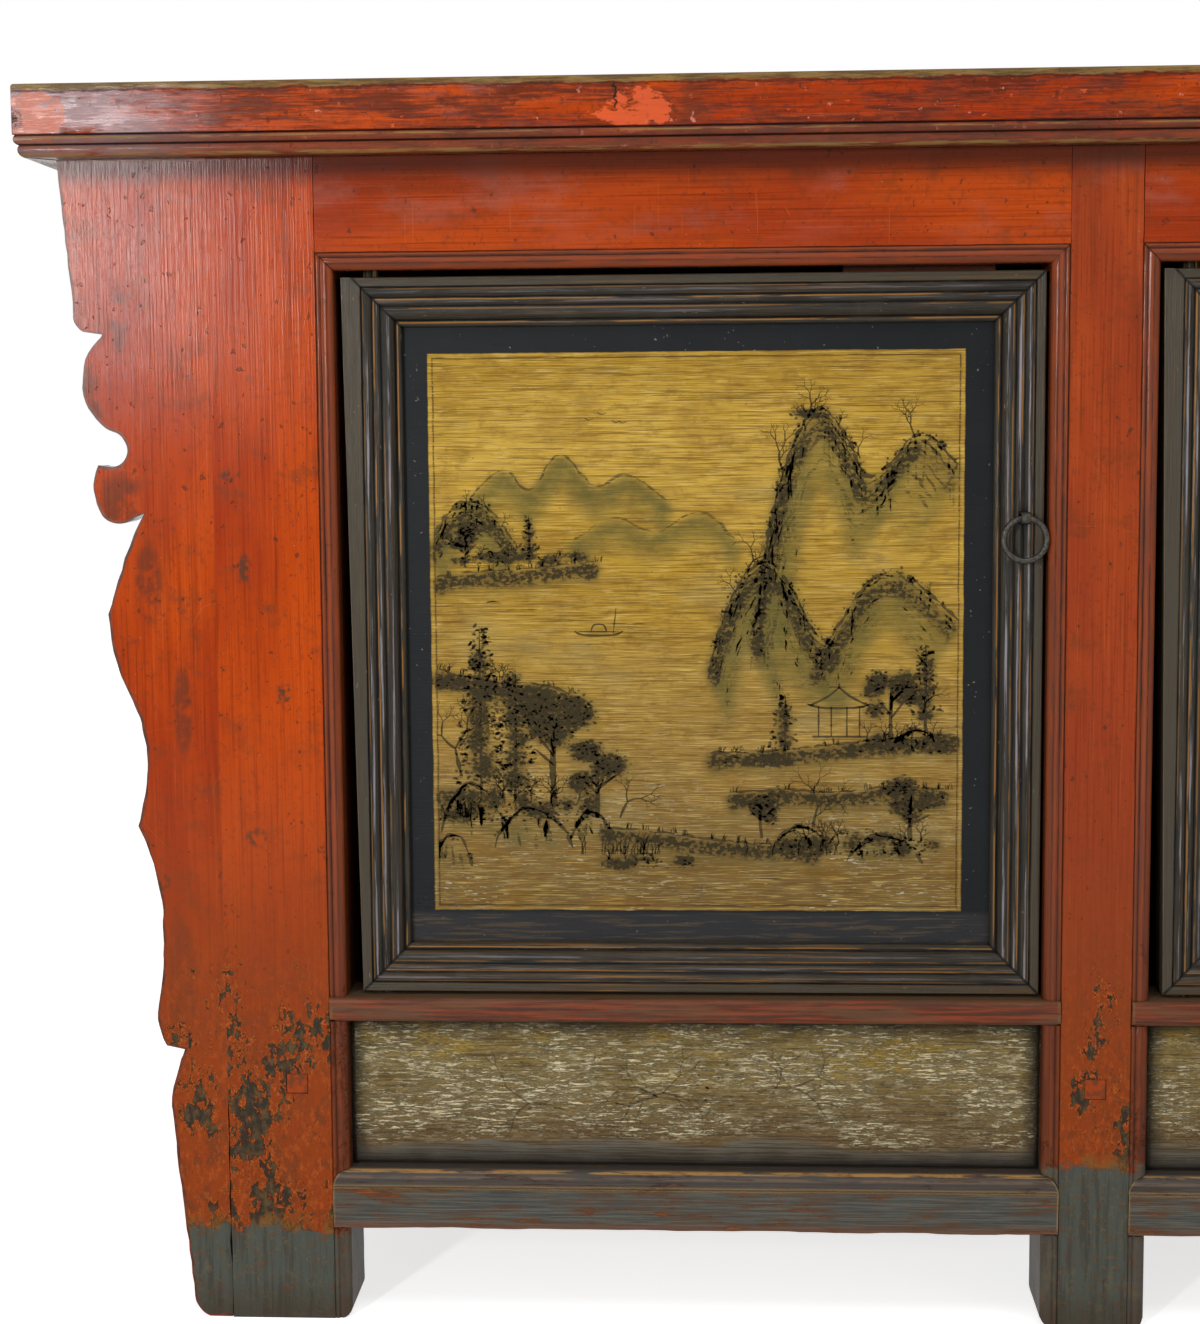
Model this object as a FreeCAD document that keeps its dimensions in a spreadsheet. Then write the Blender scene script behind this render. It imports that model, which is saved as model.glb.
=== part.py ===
import FreeCAD, Part
import os
import Sketcher
from FreeCAD import Placement, Rotation, Vector

# Painted sideboard with three pintle-hung doors, scalloped wings and a framed top.
# X runs from left to right, Y from front to back and Z up. The origin is on the floor
# under the middle of the top. All lengths are in millimetres.

doc = FreeCAD.newDocument("painted_sideboard")
sheet = doc.addObject("Spreadsheet::Sheet", "Sizes")

SIZES = [
    # front, from left to right
    ("bay_width", "489.5", "clear width of one door opening"),
    ("middle_post_width", "72.5", "post between two bays"),
    ("corner_post_width", "86", "post at each corner"),
    ("wing_width", "103.5", "scalloped wing beyond the corner post, at the top"),
    ("top_end_overhang", "24.5", "top beyond the wing"),
    # from front to back
    ("body_depth", "428", "front of the front posts to back of the back posts"),
    ("post_depth", "60", "front posts"),
    ("back_post_depth", "45", "back posts"),
    ("wing_thickness", "26", "front and back wings"),
    ("top_front_overhang", "18", "top in front of the posts"),
    ("top_back_overhang", "14", "top behind the posts"),
    # heights, from the floor up
    ("leg_height", "67", "floor to the base rail"),
    ("base_rail_height", "43", "rail under the lower panel"),
    ("lower_opening_height", "108", "opening that the lower panel fills"),
    ("sill_height", "17.5", "rail under the doors"),
    ("door_opening_height", "508.5", "sill to top rail"),
    ("top_rail_height", "77", "rail over the doors"),
    ("top_thickness", "49", "frame of the top"),
    # front rails and their joints
    ("rail_depth", "46", "front rails, from front to back"),
    ("lap_depth", "8", "front lap of a rail over the post's moulding"),
    ("sill_proud", "2", "sill in front of the posts"),
    ("sill_round", "4", "worn front edges of the sill"),
    ("base_proud", "1", "base rail in front of the posts"),
    ("base_moulding_height", "13", "moulding along the top of the base rail"),
    ("base_moulding_depth", "9", "moulding's edge behind the face of the base rail"),
    ("tenon_length", "24", "rail tenon in its post"),
    ("tenon_thickness", "12", "rail tenon, across"),
    ("tenon_shoulder", "5", "shoulder above and below a rail tenon"),
    ("sill_tenon_shoulder", "3", "shoulder above and below a sill tenon"),
    ("bead_width", "12", "moulding along each opening"),
    ("bead_drop", "4", "moulding's edge behind the face"),
    ("foot_round", "8", "worn lower corners of the feet"),
    ("post_tenon_height", "24", "post tenon in the top frame"),
    ("post_tenon_width", "34", "post tenon, left to right"),
    ("post_tenon_depth", "16", "post tenon, front to back"),
    # wings
    ("wing_tongue_thickness", "8", "tongue of a wing in its post"),
    ("wing_tongue_depth", "7", "how far the tongue enters the post"),
    ("wing_tongue_stop", "60", "tongue ends below the top and above the floor"),
    # panels
    ("panel_tongue", "5", "edge of a panel inside its groove"),
    ("panel_tongue_thickness", "5", "tongue, from front to back"),
    ("panel_play", "0.3", "gap between a tongue and its groove"),
    ("lower_panel_recess", "13", "lower panel behind the face of the posts"),
    ("lower_panel_thickness", "12", "lower panel"),
    ("lower_panel_round", "5", "pillowed edge of the lower panel"),
    ("side_panel_thickness", "12", "side and back panels"),
    ("side_panel_recess", "8", "side and back panels behind their frames"),
    # side and back frames
    ("side_rail_thickness", "30", "side rails, across"),
    ("side_rail_height", "70", "side top rail"),
    ("back_rail_depth", "30", "back rails, from front to back"),
    ("back_rail_height", "70", "back top rail"),
    # floor
    ("bearer_width", "28", "floor bearer"),
    ("bearer_height", "29", "floor bearer"),
    ("bearer_low", "158", "floor to the underside of a bearer"),
    ("bearer_tenon_width", "15", "tenon that shows on the front post"),
    ("bearer_tenon_height", "14", "tenon that shows on the front post"),
    ("floor_thickness", "12", "floor boards"),
    ("floor_play", "1", "gap between a floor board and what stands beside it"),
    # top
    ("top_member_width", "92", "mitred frame of the top"),
    ("top_edge_depth", "7", "how far the edge moulding steps in"),
    ("top_tenon_thickness", "16", "tenon inside a mitre of the top"),
    ("top_tenon_width", "32", "tenon inside a mitre of the top"),
    ("top_tenon_stop", "18", "wood beyond the end of that tenon"),
    ("top_board_thickness", "18", "boards inside the frame"),
    ("top_tongue", "9", "edge of the boards inside the frame"),
    ("top_tongue_thickness", "8", "tongue of the boards"),
    ("batten_width", "46", "batten under the boards"),
    ("batten_height", "24", "batten below the boards"),
    ("batten_ridge_height", "6", "dovetailed ridge in the boards"),
    ("batten_ridge_width", "20", "ridge, at its narrow foot"),
    ("batten_ridge_flare", "2", "ridge widens by this on each side"),
    ("batten_tenon", "18", "batten's end in the frame"),
    # doors
    ("door_recess", "10", "door face behind the face of the posts"),
    ("door_thickness", "26", "door frame"),
    ("door_member_width", "34", "moulded width of the door frame"),
    ("door_moulding_depth", "7", "drop of the moulding to its inner lip"),
    ("hinge_gap", "4", "gap beside the hinge stile at its head"),
    ("hinge_band", "7", "plain band beside the moulding at the head, planed to nothing at the foot"),
    ("lock_gap", "2.3", "gap beside the lock stile"),
    ("door_gap_head", "4.5", "gap over the door"),
    ("door_gap_foot", "2", "gap under the door"),
    ("door_panel_drop", "11", "painted face behind the door face"),
    ("door_panel_thickness", "9", "door panel"),
    ("door_tenon_length", "20", "door rail tenon in its stile"),
    ("door_tenon_thickness", "6", "door rail tenon, front to back"),
    ("door_tenon_shoulder", "9", "shoulder above and below a door rail tenon"),
    ("pivot_inset", "24", "pin axis from the edge of the opening"),
    ("pivot_depth", "12", "pin axis behind the door face"),
    ("pin_radius", "6", "wooden pin on the hinge stile"),
    ("pin_play", "0.3", "gap around a pin and beyond its end"),
    ("pin_engagement", "8", "pin inside its rail"),
    ("stop_drop", "9", "door stop below the top rail"),
    ("stop_length", "105", "door stop, along the rail"),
    ("stop_inset", "34", "door stop from the edge of the opening"),
    ("stop_play", "0.5", "gap between the door and its stop"),
    # ring pull
    ("ring_radius", "14.6", "ring, to the middle of its wire"),
    ("ring_wire_radius", "2.1", "wire of the ring"),
    ("ring_inset", "14", "ring's middle from the outer edge of the lock stile"),
    ("ring_height", "334", "eye above the foot of the door"),
    ("eye_reach", "9.5", "eye's middle in front of the door face"),
    ("eye_play", "0.6", "gap between the wire and the eye"),
    ("strip_thickness", "1.4", "iron strip of the staple"),
    ("strip_width", "6", "iron strip of the staple"),
    ("strip_play", "0.3", "gap between the legs and their hole"),
    ("clench_length", "11", "bent end of each leg on the back of the stile"),
    # cutting tools
    ("overrun", "20", "how far a cutting tool runs past the piece"),
]

for row, (alias, number, note) in enumerate(SIZES, start=1):
    sheet.set("A%d" % row, note)
    sheet.set("B%d" % row, number)
    sheet.setAlias("B%d" % row, alias)
doc.recompute()


class Size:
    """A length as a number, with the sheet expression that gives it."""

    def __init__(self, number, text):
        self.number = number
        self.text = text

    def __add__(self, other):
        other = as_size(other)
        return Size(self.number + other.number, "(%s + %s)" % (self.text, other.text))

    def __sub__(self, other):
        other = as_size(other)
        return Size(self.number - other.number, "(%s - %s)" % (self.text, other.text))

    def __mul__(self, factor):
        return Size(self.number * factor, "(%s * (%r))" % (self.text, factor))

    def __truediv__(self, factor):
        return Size(self.number / factor, "(%s / %r)" % (self.text, factor))

    def __neg__(self):
        return Size(-self.number, "(0 - %s)" % self.text)


def as_size(value):
    """A plain zero as a Size, and a Size as it is."""
    return value if isinstance(value, Size) else Size(float(value), repr(float(value)))


class Sizes:
    """The cells of the sheet, by their aliases."""

    def __getattr__(self, alias):
        return Size(float(sheet.get(alias)), "Sizes." + alias)


S = Sizes()

# Places that several pieces share
SIDES = (("left", -1), ("right", 1))
BAYS = ("left", "centre", "right")
BAY_PITCH = S.bay_width + S.middle_post_width
BAY_LOW = [BAY_PITCH * step - S.bay_width / 2 for step in (-1, 0, 1)]
BAY_HIGH = [low + S.bay_width for low in BAY_LOW]
BODY_HALF = BAY_HIGH[2] + S.corner_post_width
TOP_HALF = BODY_HALF + S.wing_width + S.top_end_overhang
TOP_BACK = (S.top_front_overhang + S.body_depth + S.top_back_overhang) / 2
TOP_FRONT = -TOP_BACK
FRONT = TOP_FRONT + S.top_front_overhang
BACK = FRONT + S.body_depth
BASE_TOP = S.leg_height + S.base_rail_height
SILL_LOW = BASE_TOP + S.lower_opening_height
SILL_TOP = SILL_LOW + S.sill_height
OPENING_TOP = SILL_TOP + S.door_opening_height
CARCASS_TOP = OPENING_TOP + S.top_rail_height
TOP_TOP = CARCASS_TOP + S.top_thickness
SIDE_RAIL_LOW = CARCASS_TOP - S.side_rail_height
BACK_RAIL_LOW = CARCASS_TOP - S.back_rail_height
BEARER_TOP = S.bearer_low + S.bearer_height

# Every post, by name: its edges, and whether a bay lies on its left and on its right
POSTS = {
    "left": (-BODY_HALF, BAY_LOW[0], False, True),
    "left_middle": (BAY_HIGH[0], BAY_LOW[1], True, True),
    "right_middle": (BAY_HIGH[1], BAY_LOW[2], True, True),
    "right": (BAY_HIGH[2], BODY_HALF, True, False),
}
BEARER_FROM_BAY = S.middle_post_width / 2
BEARERS = [BAY_LOW[0] - BEARER_FROM_BAY] + [high + BEARER_FROM_BAY for high in BAY_HIGH]

# Mouldings, as steps of an outline: a corner alone, or a point of an arc and then its end.
# Along an opening: shares of bead_width from its edge, and of bead_drop behind the face
BEAD_SHARES = [
    [(1, 0)],
    [(1, 0.3)],
    [(0.86, 0.05), (0.7, 0.38)],
    [(0.33, 0.16), (0, 1)],
]
# Edge of the top: shares of top_edge_depth inward, and of top_thickness upward
TOP_EDGE_SHARES = [
    [(0.3, 1)],
    [(0.08, 0.985), (0, 0.955)],
    [(0, 0.31)],
    [(0.22, 0.3)],
    [(0.06, 0.235), (0.3, 0.18)],
    [(0.52, 0.165)],
    [(0.42, 0.07), (1, 0)],
]
# Top of the base rail: shares of base_moulding_depth inward, and of its height upward
BASE_SHARES = [
    [(0, 0)],
    [(0.2, 0.08)],
    [(0.2, 0.3)],
    [(0.38, 0.85), (1, 1)],
]
# Door frame: shares of door_member_width from its outer edge, and of its moulding's depth
DOOR_SHARES = [
    [(0, 0.1)],
    [(0.02, 0)],
    [(0.19, 0)],
    [(0.21, 0.2)],
    [(0.3, 0.02), (0.4, 0.24)],
    [(0.42, 0.34)],
    [(0.5, 0.18), (0.58, 0.4)],
    [(0.6, 0.5)],
    [(0.74, 0.36), (0.86, 0.82)],
    [(0.88, 0.94)],
    [(0.93, 0.78), (1, 1)],
]
# Wing, from its top corner down: shares of wing_width outward, and of the height upward
WING_SHARES = [
    [(1, 1)],
    [(0.951, 0.926), (0.916, 0.872)],
    [(0.898, 0.862), (0.85, 0.857)],
    [(0.734, 0.8543)],
    [(0.87, 0.822), (0.85, 0.798)],
    [(0.775, 0.7825), (0.647, 0.771)],
    [(0.584, 0.7564), (0.683, 0.7437)],
    [(0.779, 0.7457)],
    [(0.816, 0.731), (0.763, 0.7024)],
    [(0.65, 0.6955), (0.548, 0.6994)],
    [(0.481, 0.7032)],
    [(0.65, 0.656), (0.74, 0.619)],
    [(0.692, 0.577), (0.589, 0.5445)],
    [(0.504, 0.49), (0.541, 0.4543)],
    [(0.575, 0.436)],
    [(0.469, 0.398), (0.425, 0.347)],
    [(0.4375, 0.311), (0.473, 0.279)],
    [(0.466, 0.258), (0.418, 0.243)],
    [(0.3, 0.2395)],
    [(0.372, 0.214), (0.398, 0.189)],
    [(0.357, 0.128), (0.268, 0.0177)],
    [(0.236, 0.0066), (0.164, 0)],
    [(0, 0)],
    [(0, 1)],
]


def bind(feature, prop, size):
    """Ties one property of a feature to the sheet."""
    feature.setExpression(prop, as_size(size).text)


def bind_place(feature, x, y, z, rotation=Rotation()):
    """Puts a feature at a place that follows the sheet."""
    place = [as_size(value) for value in (x, y, z)]
    feature.Placement = Placement(Vector(*[size.number for size in place]), rotation)
    for axis, size in zip("xyz", place):
        bind(feature, ".Placement.Base." + axis, size)


def block(name, x, y, z):
    """A box between two sizes on each axis."""
    box = doc.addObject("Part::Box", name)
    for prop, (low, high) in (("Length", x), ("Width", y), ("Height", z)):
        bind(box, prop, as_size(high) - low)
    bind_place(box, x[0], y[0], z[0])
    return box


def upright_pin(name, x, y, z, radius):
    """A cylinder along Z between two heights."""
    rod = doc.addObject("Part::Cylinder", name)
    bind(rod, "Radius", radius)
    bind(rod, "Height", z[1] - z[0])
    bind_place(rod, x, y, z[0])
    return rod


def fuse(name, pieces):
    """All the pieces as one."""
    joined = doc.addObject("Part::MultiFuse", name)
    joined.Shapes = pieces
    joined.Refine = True
    return joined


def cut(name, base, tools):
    """What is left of base without the tools."""
    trimmed = doc.addObject("Part::Cut", name)
    trimmed.Base = base
    trimmed.Tool = tools[0] if len(tools) == 1 else fuse(name + "_tools", tools)
    trimmed.Refine = True
    return trimmed


def group(name, pieces):
    """Separate solids that share one node."""
    several = doc.addObject("Part::Compound", name)
    several.Links = pieces
    return several


def mirrored(side, near, far):
    """The span between two distances from the middle, on one side of it."""
    return (near, far) if side > 0 else (-far, -near)


def about(middle, width):
    """The span of a width centred on a place."""
    return (middle - width / 2, middle + width / 2)


def widened(span, play):
    """A span with the same play added at both ends."""
    return (span[0] - play, span[1] + play)


# Sketch planes: the two axes that a sketch draws on, the one that it is padded along, and its role
PLANES = {
    "XY": (Vector(1, 0, 0), Vector(0, 1, 0), Vector(0, 0, 1), "XY_Plane"),
    "XZ": (Vector(1, 0, 0), Vector(0, 0, 1), Vector(0, 1, 0), "XZ_Plane"),
    "YZ": (Vector(0, 1, 0), Vector(0, 0, 1), Vector(1, 0, 0), "YZ_Plane"),
}


def tie_point(sketch, edge, end, point):
    """Holds one point of a sketch at two sizes."""
    for kind, size in zip(("DistanceX", "DistanceY"), point):
        size = as_size(size)
        number = sketch.addConstraint(Sketcher.Constraint(kind, -1, 1, edge, end, size.number))
        bind(sketch, "Constraints[%d]" % number, size)


def as_vector(point):
    """A point of an outline as a vector in its sketch."""
    return Vector(as_size(point[0]).number, as_size(point[1]).number, 0)


def draw_line(sketch, start, stop):
    """A line, and which of its ends are its start and its stop."""
    return sketch.addGeometry(Part.LineSegment(as_vector(start), as_vector(stop)), False), 1, 2


def draw_arc(sketch, start, via, stop):
    """An arc through a point, and which of its ends are its start and its stop."""
    first, middle, last = as_vector(start), as_vector(via), as_vector(stop)
    clockwise = (middle - first).cross(last - first).z < 0
    ends = (last, first) if clockwise else (first, last)
    arc = sketch.addGeometry(Part.Arc(ends[0], middle, ends[1]), False)
    point = sketch.addGeometry(Part.Point(middle), True)
    tie_point(sketch, point, 1, via)
    sketch.addConstraint(Sketcher.Constraint("PointOnObject", point, 1, arc))
    return (arc, 2, 1) if clockwise else (arc, 1, 2)


def draw_outline(sketch, steps):
    """A closed outline. Each step is a corner, or a point of an arc and then the arc's end."""
    edges = []
    for index, step in enumerate(steps):
        start = steps[index - 1][-1]
        drawn = draw_line(sketch, start, step[-1]) if len(step) == 1 else draw_arc(sketch, start, *step)
        edges.append(drawn)
    for index, (edge, start_end, _) in enumerate(edges):
        previous, _, stop_end = edges[index - 1]
        sketch.addConstraint(Sketcher.Constraint("Coincident", previous, stop_end, edge, start_end))
        tie_point(sketch, edge, start_end, steps[index - 1][-1])


def prism(name, plane, steps, span):
    """An outline on a plane, extruded between two places on the third axis."""
    across, up, along, _ = PLANES[plane]
    sketch = doc.addObject("Sketcher::SketchObject", name + "_outline")
    start = [span[0] if value else 0 for value in along]
    bind_place(sketch, *start, Rotation(across, up, across.cross(up), "XYZ"))
    draw_outline(sketch, steps)
    solid = doc.addObject("Part::Extrusion", name)
    solid.Base = sketch
    solid.DirMode = "Custom"
    solid.Dir = along
    solid.Solid = True
    bind(solid, "LengthFwd", span[1] - span[0])
    return solid


def padded_body(name, plane, steps, span):
    """A body whose pad runs from its outline between two places on the third axis."""
    across, up, along, role = PLANES[plane]
    body = doc.addObject("PartDesign::Body", name + "_body")
    origin_plane = [item for item in body.Origin.OriginFeatures if item.Role == role][0]
    sketch = body.newObject("Sketcher::SketchObject", name + "_outline")
    sketch.AttachmentSupport = [(origin_plane, "")]
    sketch.MapMode = "FlatFace"
    draw_outline(sketch, steps)
    pad = body.newObject("PartDesign::Pad", name + "_pad")
    pad.Profile = sketch
    pad.Reversed = across.cross(up).dot(along) < 0
    bind(pad, "Length", span[1] - span[0])
    bind_place(body, *[span[0] if value else 0 for value in along])
    return body


def rounded_edges(body, test, radius):
    """Fillets the edges of a body's pad whose ends all pass a test."""
    doc.recompute()
    pad = body.Tip
    names = []
    for index, edge in enumerate(pad.Shape.Edges, start=1):
        if all(test(vertex.Point) for vertex in edge.Vertexes):
            names.append("Edge%d" % index)
    fillet = body.newObject("PartDesign::Fillet", body.Name + "_rounding")
    fillet.Base = (pad, names)
    bind(fillet, "Radius", radius)
    return body


def rectangle(across, up):
    """The outline of a rectangle."""
    return [[(across[0], up[0])], [(across[1], up[0])], [(across[1], up[1])], [(across[0], up[1])]]


def laid_out(shares, spot):
    """An outline's steps, with each pair of shares turned into a place."""
    return [[spot(*pair) for pair in step] for step in shares]


def backwards(shares):
    """The same steps from the last corner to the first."""
    corners = [step[-1] for step in shares]
    steps = [[corners[-1]]]
    for index in range(len(shares) - 1, 0, -1):
        steps.append(shares[index][:-1] + [corners[index - 1]])
    return steps


PIECES = {}


def keep(name, feature):
    """Names a finished piece, which is written to its own file."""
    feature.Label = name
    PIECES[name] = feature


def shouldered(span):
    """A rail's height without its tenon's shoulders."""
    return (span[0] + S.tenon_shoulder, span[1] - S.tenon_shoulder)


def middle(span):
    """The middle of a span."""
    return (span[0] + span[1]) / 2


def ordered(first, second):
    """A span with its lower end first."""
    return (first, second) if first.number < second.number else (second, first)


# Rails by their heights. Those of the front rails are their tenons' heights
FRONT_TENONS = {
    "top": shouldered((OPENING_TOP, CARCASS_TOP)),
    "sill": (SILL_LOW + S.sill_tenon_shoulder, SILL_TOP - S.sill_tenon_shoulder),
    "base": shouldered((S.leg_height, BASE_TOP)),
}
BACK_RAILS = {"top": (BACK_RAIL_LOW, CARCASS_TOP), "bottom": (S.leg_height, BASE_TOP)}
SIDE_RAILS = {"top": (SIDE_RAIL_LOW, CARCASS_TOP), "bottom": (S.leg_height, BASE_TOP)}

# From front to back
RAIL_BACK = FRONT + S.rail_depth
FRONT_TENON_Y = about(FRONT + S.rail_depth / 2, S.tenon_thickness)
BACK_TENON_Y = about(BACK - S.back_rail_depth / 2, S.tenon_thickness)
LOWER_PANEL_Y = (FRONT + S.lower_panel_recess, FRONT + S.lower_panel_recess + S.lower_panel_thickness)
BACK_PANEL_Y = (BACK - S.side_panel_recess - S.side_panel_thickness, BACK - S.side_panel_recess)
SIDE_Y = (FRONT + S.post_depth, BACK - S.back_post_depth)
WING_Y = {"front": (FRONT, FRONT + S.wing_thickness), "back": (BACK - S.wing_thickness, BACK)}
LAP_Y = (FRONT - S.overrun, FRONT + S.lap_depth)


def tongue_span(field):
    """The tongue in the middle of a panel's thickness."""
    return about(middle(field), S.panel_tongue_thickness)


def groove_span(field):
    """The groove that holds that tongue."""
    return widened(tongue_span(field), S.panel_play)


GROOVE_REACH = S.panel_tongue + S.panel_play


def inward_span(edge, inward, length):
    """The span from an edge into a piece."""
    return ordered(edge, edge + length * inward)


def side_rail_x(side):
    """The thickness of a side rail, flush with the outside of its posts."""
    return mirrored(side, BODY_HALF - S.side_rail_thickness, BODY_HALF)


def side_panel_x(side):
    """The thickness of a side panel."""
    outer = BODY_HALF - S.side_panel_recess
    return mirrored(side, outer - S.side_panel_thickness, outer)


# Tenons and tongues: each is made once for its own piece and once more to cut the other
def end_tenons(name, x, y, z):
    """A tenon at each end of a rail that runs from left to right."""
    left = block(name + "_left_tenon", (x[0] - S.tenon_length, x[0]), y, z)
    right = block(name + "_right_tenon", (x[1], x[1] + S.tenon_length), y, z)
    return [left, right]


def side_tenon(name, side, z, at_front):
    """A side rail's tenon in the front or the back post."""
    x = about(middle(side_rail_x(side)), S.tenon_thickness)
    edge, inward = (SIDE_Y[0], -1) if at_front else (SIDE_Y[1], 1)
    return block(name, x, inward_span(edge, inward, S.tenon_length), shouldered(z))


def bearer_tenon(name, x, y):
    """The narrow end of a floor bearer, right through a post."""
    height = S.bearer_low + S.bearer_height / 2
    return block(name, about(x, S.bearer_tenon_width), y, about(height, S.bearer_tenon_height))


def post_tenon(name, low, high, y):
    """The tenon on the head of a post, inside the frame of the top."""
    z = (CARCASS_TOP, CARCASS_TOP + S.post_tenon_height)
    return block(name, about(middle((low, high)), S.post_tenon_width), about(middle(y), S.post_tenon_depth), z)


def wing_tongue(name, side, y, play):
    """The tongue along a wing, or with play the groove for it."""
    x = mirrored(side, BODY_HALF - S.wing_tongue_depth - play, BODY_HALF)
    z = (S.wing_tongue_stop - play, CARCASS_TOP - S.wing_tongue_stop + play)
    return block(name, x, widened(about(middle(y), S.wing_tongue_thickness), play), z)


def foot_corner(name, edge, inward, y):
    """What wear has taken off the lower corner of a foot."""
    bulge = S.foot_round * (1 - 0.5 ** 0.5)
    steps = [
        [(edge, 0)],
        [(edge + S.foot_round * inward, 0)],
        [(edge + bulge * inward, bulge), (edge, S.foot_round)],
    ]
    return prism(name, "XZ", steps, widened(y, S.overrun))


# Laps of the front rails over the moulding of a post, seen from the front
def top_lap(edge, inward):
    """Outline of the top rail's mitred lap, from the corner of the opening."""
    far = edge + S.bead_width * inward
    return [[(edge, OPENING_TOP)], [(far, OPENING_TOP + S.bead_width)], [(far, CARCASS_TOP)], [(edge, CARCASS_TOP)]]


def sill_lap(edge, inward):
    """Outline of the sill's square lap."""
    return rectangle((edge, edge + S.bead_width * inward), (SILL_LOW, SILL_TOP))


def base_lap(edge, inward):
    """Outline of the base rail's lap, with its scribed upper corner."""
    far = edge + S.bead_width * inward
    low = BASE_TOP - S.base_moulding_height
    via = (edge + S.bead_width * (inward * 0.5 ** 0.5), low + S.base_moulding_height * 0.5 ** 0.5)
    return [[(edge, S.leg_height)], [(far, S.leg_height)], [(far, low)], [via, (edge, BASE_TOP)]]


LAPS = {"top": top_lap, "sill": sill_lap, "base": base_lap}


def lap_notches(name, edge, inward):
    """The notches for the three rails that lap over a post's moulding."""
    return [prism("%s_%s_notch" % (name, rail), "XZ", lap(edge, inward), LAP_Y) for rail, lap in LAPS.items()]


# Posts
def front_post_outline(low, high, bay_left, bay_right):
    """Section of a front post, moulded beside each bay."""
    back = FRONT + S.post_depth
    steps = [[(low, back)]]
    if bay_left:
        steps += laid_out(backwards(BEAD_SHARES), lambda a, d: (low + S.bead_width * a, FRONT + S.bead_drop * d))
    else:
        steps += [[(low, FRONT)]]
    if bay_right:
        steps += laid_out(BEAD_SHARES, lambda a, d: (high - S.bead_width * a, FRONT + S.bead_drop * d))
    else:
        steps += [[(high, FRONT)]]
    return steps + [[(high, back)]]


def bay_joints(name, edge, inward, tenon_y, tenons, panel_z, panel_y):
    """Mortises and panel groove in the side of a post that faces a bay."""
    mortise_x = inward_span(edge, inward, S.tenon_length)
    tools = [block("%s_%s_mortise" % (name, rail), mortise_x, tenon_y, z) for rail, z in tenons.items()]
    groove_x = inward_span(edge, inward, GROOVE_REACH)
    return tools + [block(name + "_groove", groove_x, groove_span(panel_y), panel_z)]


def corner_joints(name, side, at_front, wing_y):
    """Mortises and grooves that only a corner post has."""
    tools = [side_tenon("%s_%s_mortise" % (name, rail), side, z, at_front) for rail, z in SIDE_RAILS.items()]
    edge, inward = (SIDE_Y[0], -1) if at_front else (SIDE_Y[1], 1)
    groove_y = inward_span(edge, inward, GROOVE_REACH)
    tools.append(block(name + "_side_groove", groove_span(side_panel_x(side)), groove_y, (BASE_TOP, SIDE_RAIL_LOW)))
    tools.append(wing_tongue(name + "_wing_groove", side, wing_y, S.panel_play))
    return tools


def make_front_post(place, low, high, bay_left, bay_right, bearer):
    """A front post, its mouldings, its tenon and all that is cut into it."""
    name = "front_%s_post" % place
    y = (FRONT, FRONT + S.post_depth)
    blank = padded_body(name, "XY", front_post_outline(low, high, bay_left, bay_right), (as_size(0), CARCASS_TOP))
    whole = fuse(name + "_whole", [blank, post_tenon(name + "_tenon", low, high, y)])
    tools = [bearer_tenon(name + "_bearer_mortise", bearer, widened(y, S.overrun))]
    for facing, edge, inward in ((bay_left, low, 1), (bay_right, high, -1)):
        here = "%s_%s" % (name, "left" if inward > 0 else "right")
        if facing:
            tools += lap_notches(here, edge, inward)
            tools += bay_joints(here, edge, inward, FRONT_TENON_Y, FRONT_TENONS, (BASE_TOP, SILL_LOW), LOWER_PANEL_Y)
            tools.append(foot_corner(here + "_foot", edge, inward, y))
        else:
            tools += corner_joints(here, -inward, True, WING_Y["front"])
    keep(name, cut(name, whole, tools))


def make_back_post(name, low, high, bay_left, bay_right, bearer):
    """A back post. The ones in the middle share a node, so it isn't kept here."""
    y = (SIDE_Y[1], BACK)
    blank = padded_body(name, "XY", rectangle((low, high), y), (as_size(0), CARCASS_TOP))
    whole = fuse(name + "_whole", [blank, post_tenon(name + "_tenon", low, high, y)])
    tools = [bearer_tenon(name + "_bearer_mortise", bearer, widened(y, S.overrun))]
    tenons = {rail: shouldered(z) for rail, z in BACK_RAILS.items()}
    for facing, edge, inward in ((bay_left, low, 1), (bay_right, high, -1)):
        here = "%s_%s" % (name, "left" if inward > 0 else "right")
        if facing:
            tools += bay_joints(here, edge, inward, BACK_TENON_Y, tenons, (BASE_TOP, BACK_RAIL_LOW), BACK_PANEL_Y)
            tools.append(foot_corner(here + "_foot", edge, inward, y))
        else:
            tools += corner_joints(here, -inward, False, WING_Y["back"])
    return cut(name, whole, tools)


def make_posts():
    """Four posts at the front and four at the back."""
    inner = []
    for (place, spec), bearer in zip(POSTS.items(), BEARERS):
        make_front_post(place, *spec, bearer)
        post = make_back_post("back_%s_post" % place, *spec, bearer)
        if "middle" in place:
            inner.append(post)
        else:
            keep("back_%s_post" % place, post)
    keep("back_middle_posts", group("back_middle_posts", inner))


# Wings
def make_wing(name, side, y):
    """A scalloped wing with its tongue."""
    steps = laid_out(WING_SHARES, lambda a, b: ((BODY_HALF + S.wing_width * a) * side, CARCASS_TOP * b))
    board = padded_body(name, "XZ", steps, y)
    return fuse(name, [board, wing_tongue(name + "_tongue", side, y, 0)])


def make_wings():
    """Two wings at the front, and two at the back that share a node."""
    for place, side in SIDES:
        name = "front_%s_wing" % place
        keep(name, make_wing(name, side, WING_Y["front"]))
    pair = [make_wing("back_%s_wing" % place, side, WING_Y["back"]) for place, side in SIDES]
    keep("back_wings", group("back_wings", pair))


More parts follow.
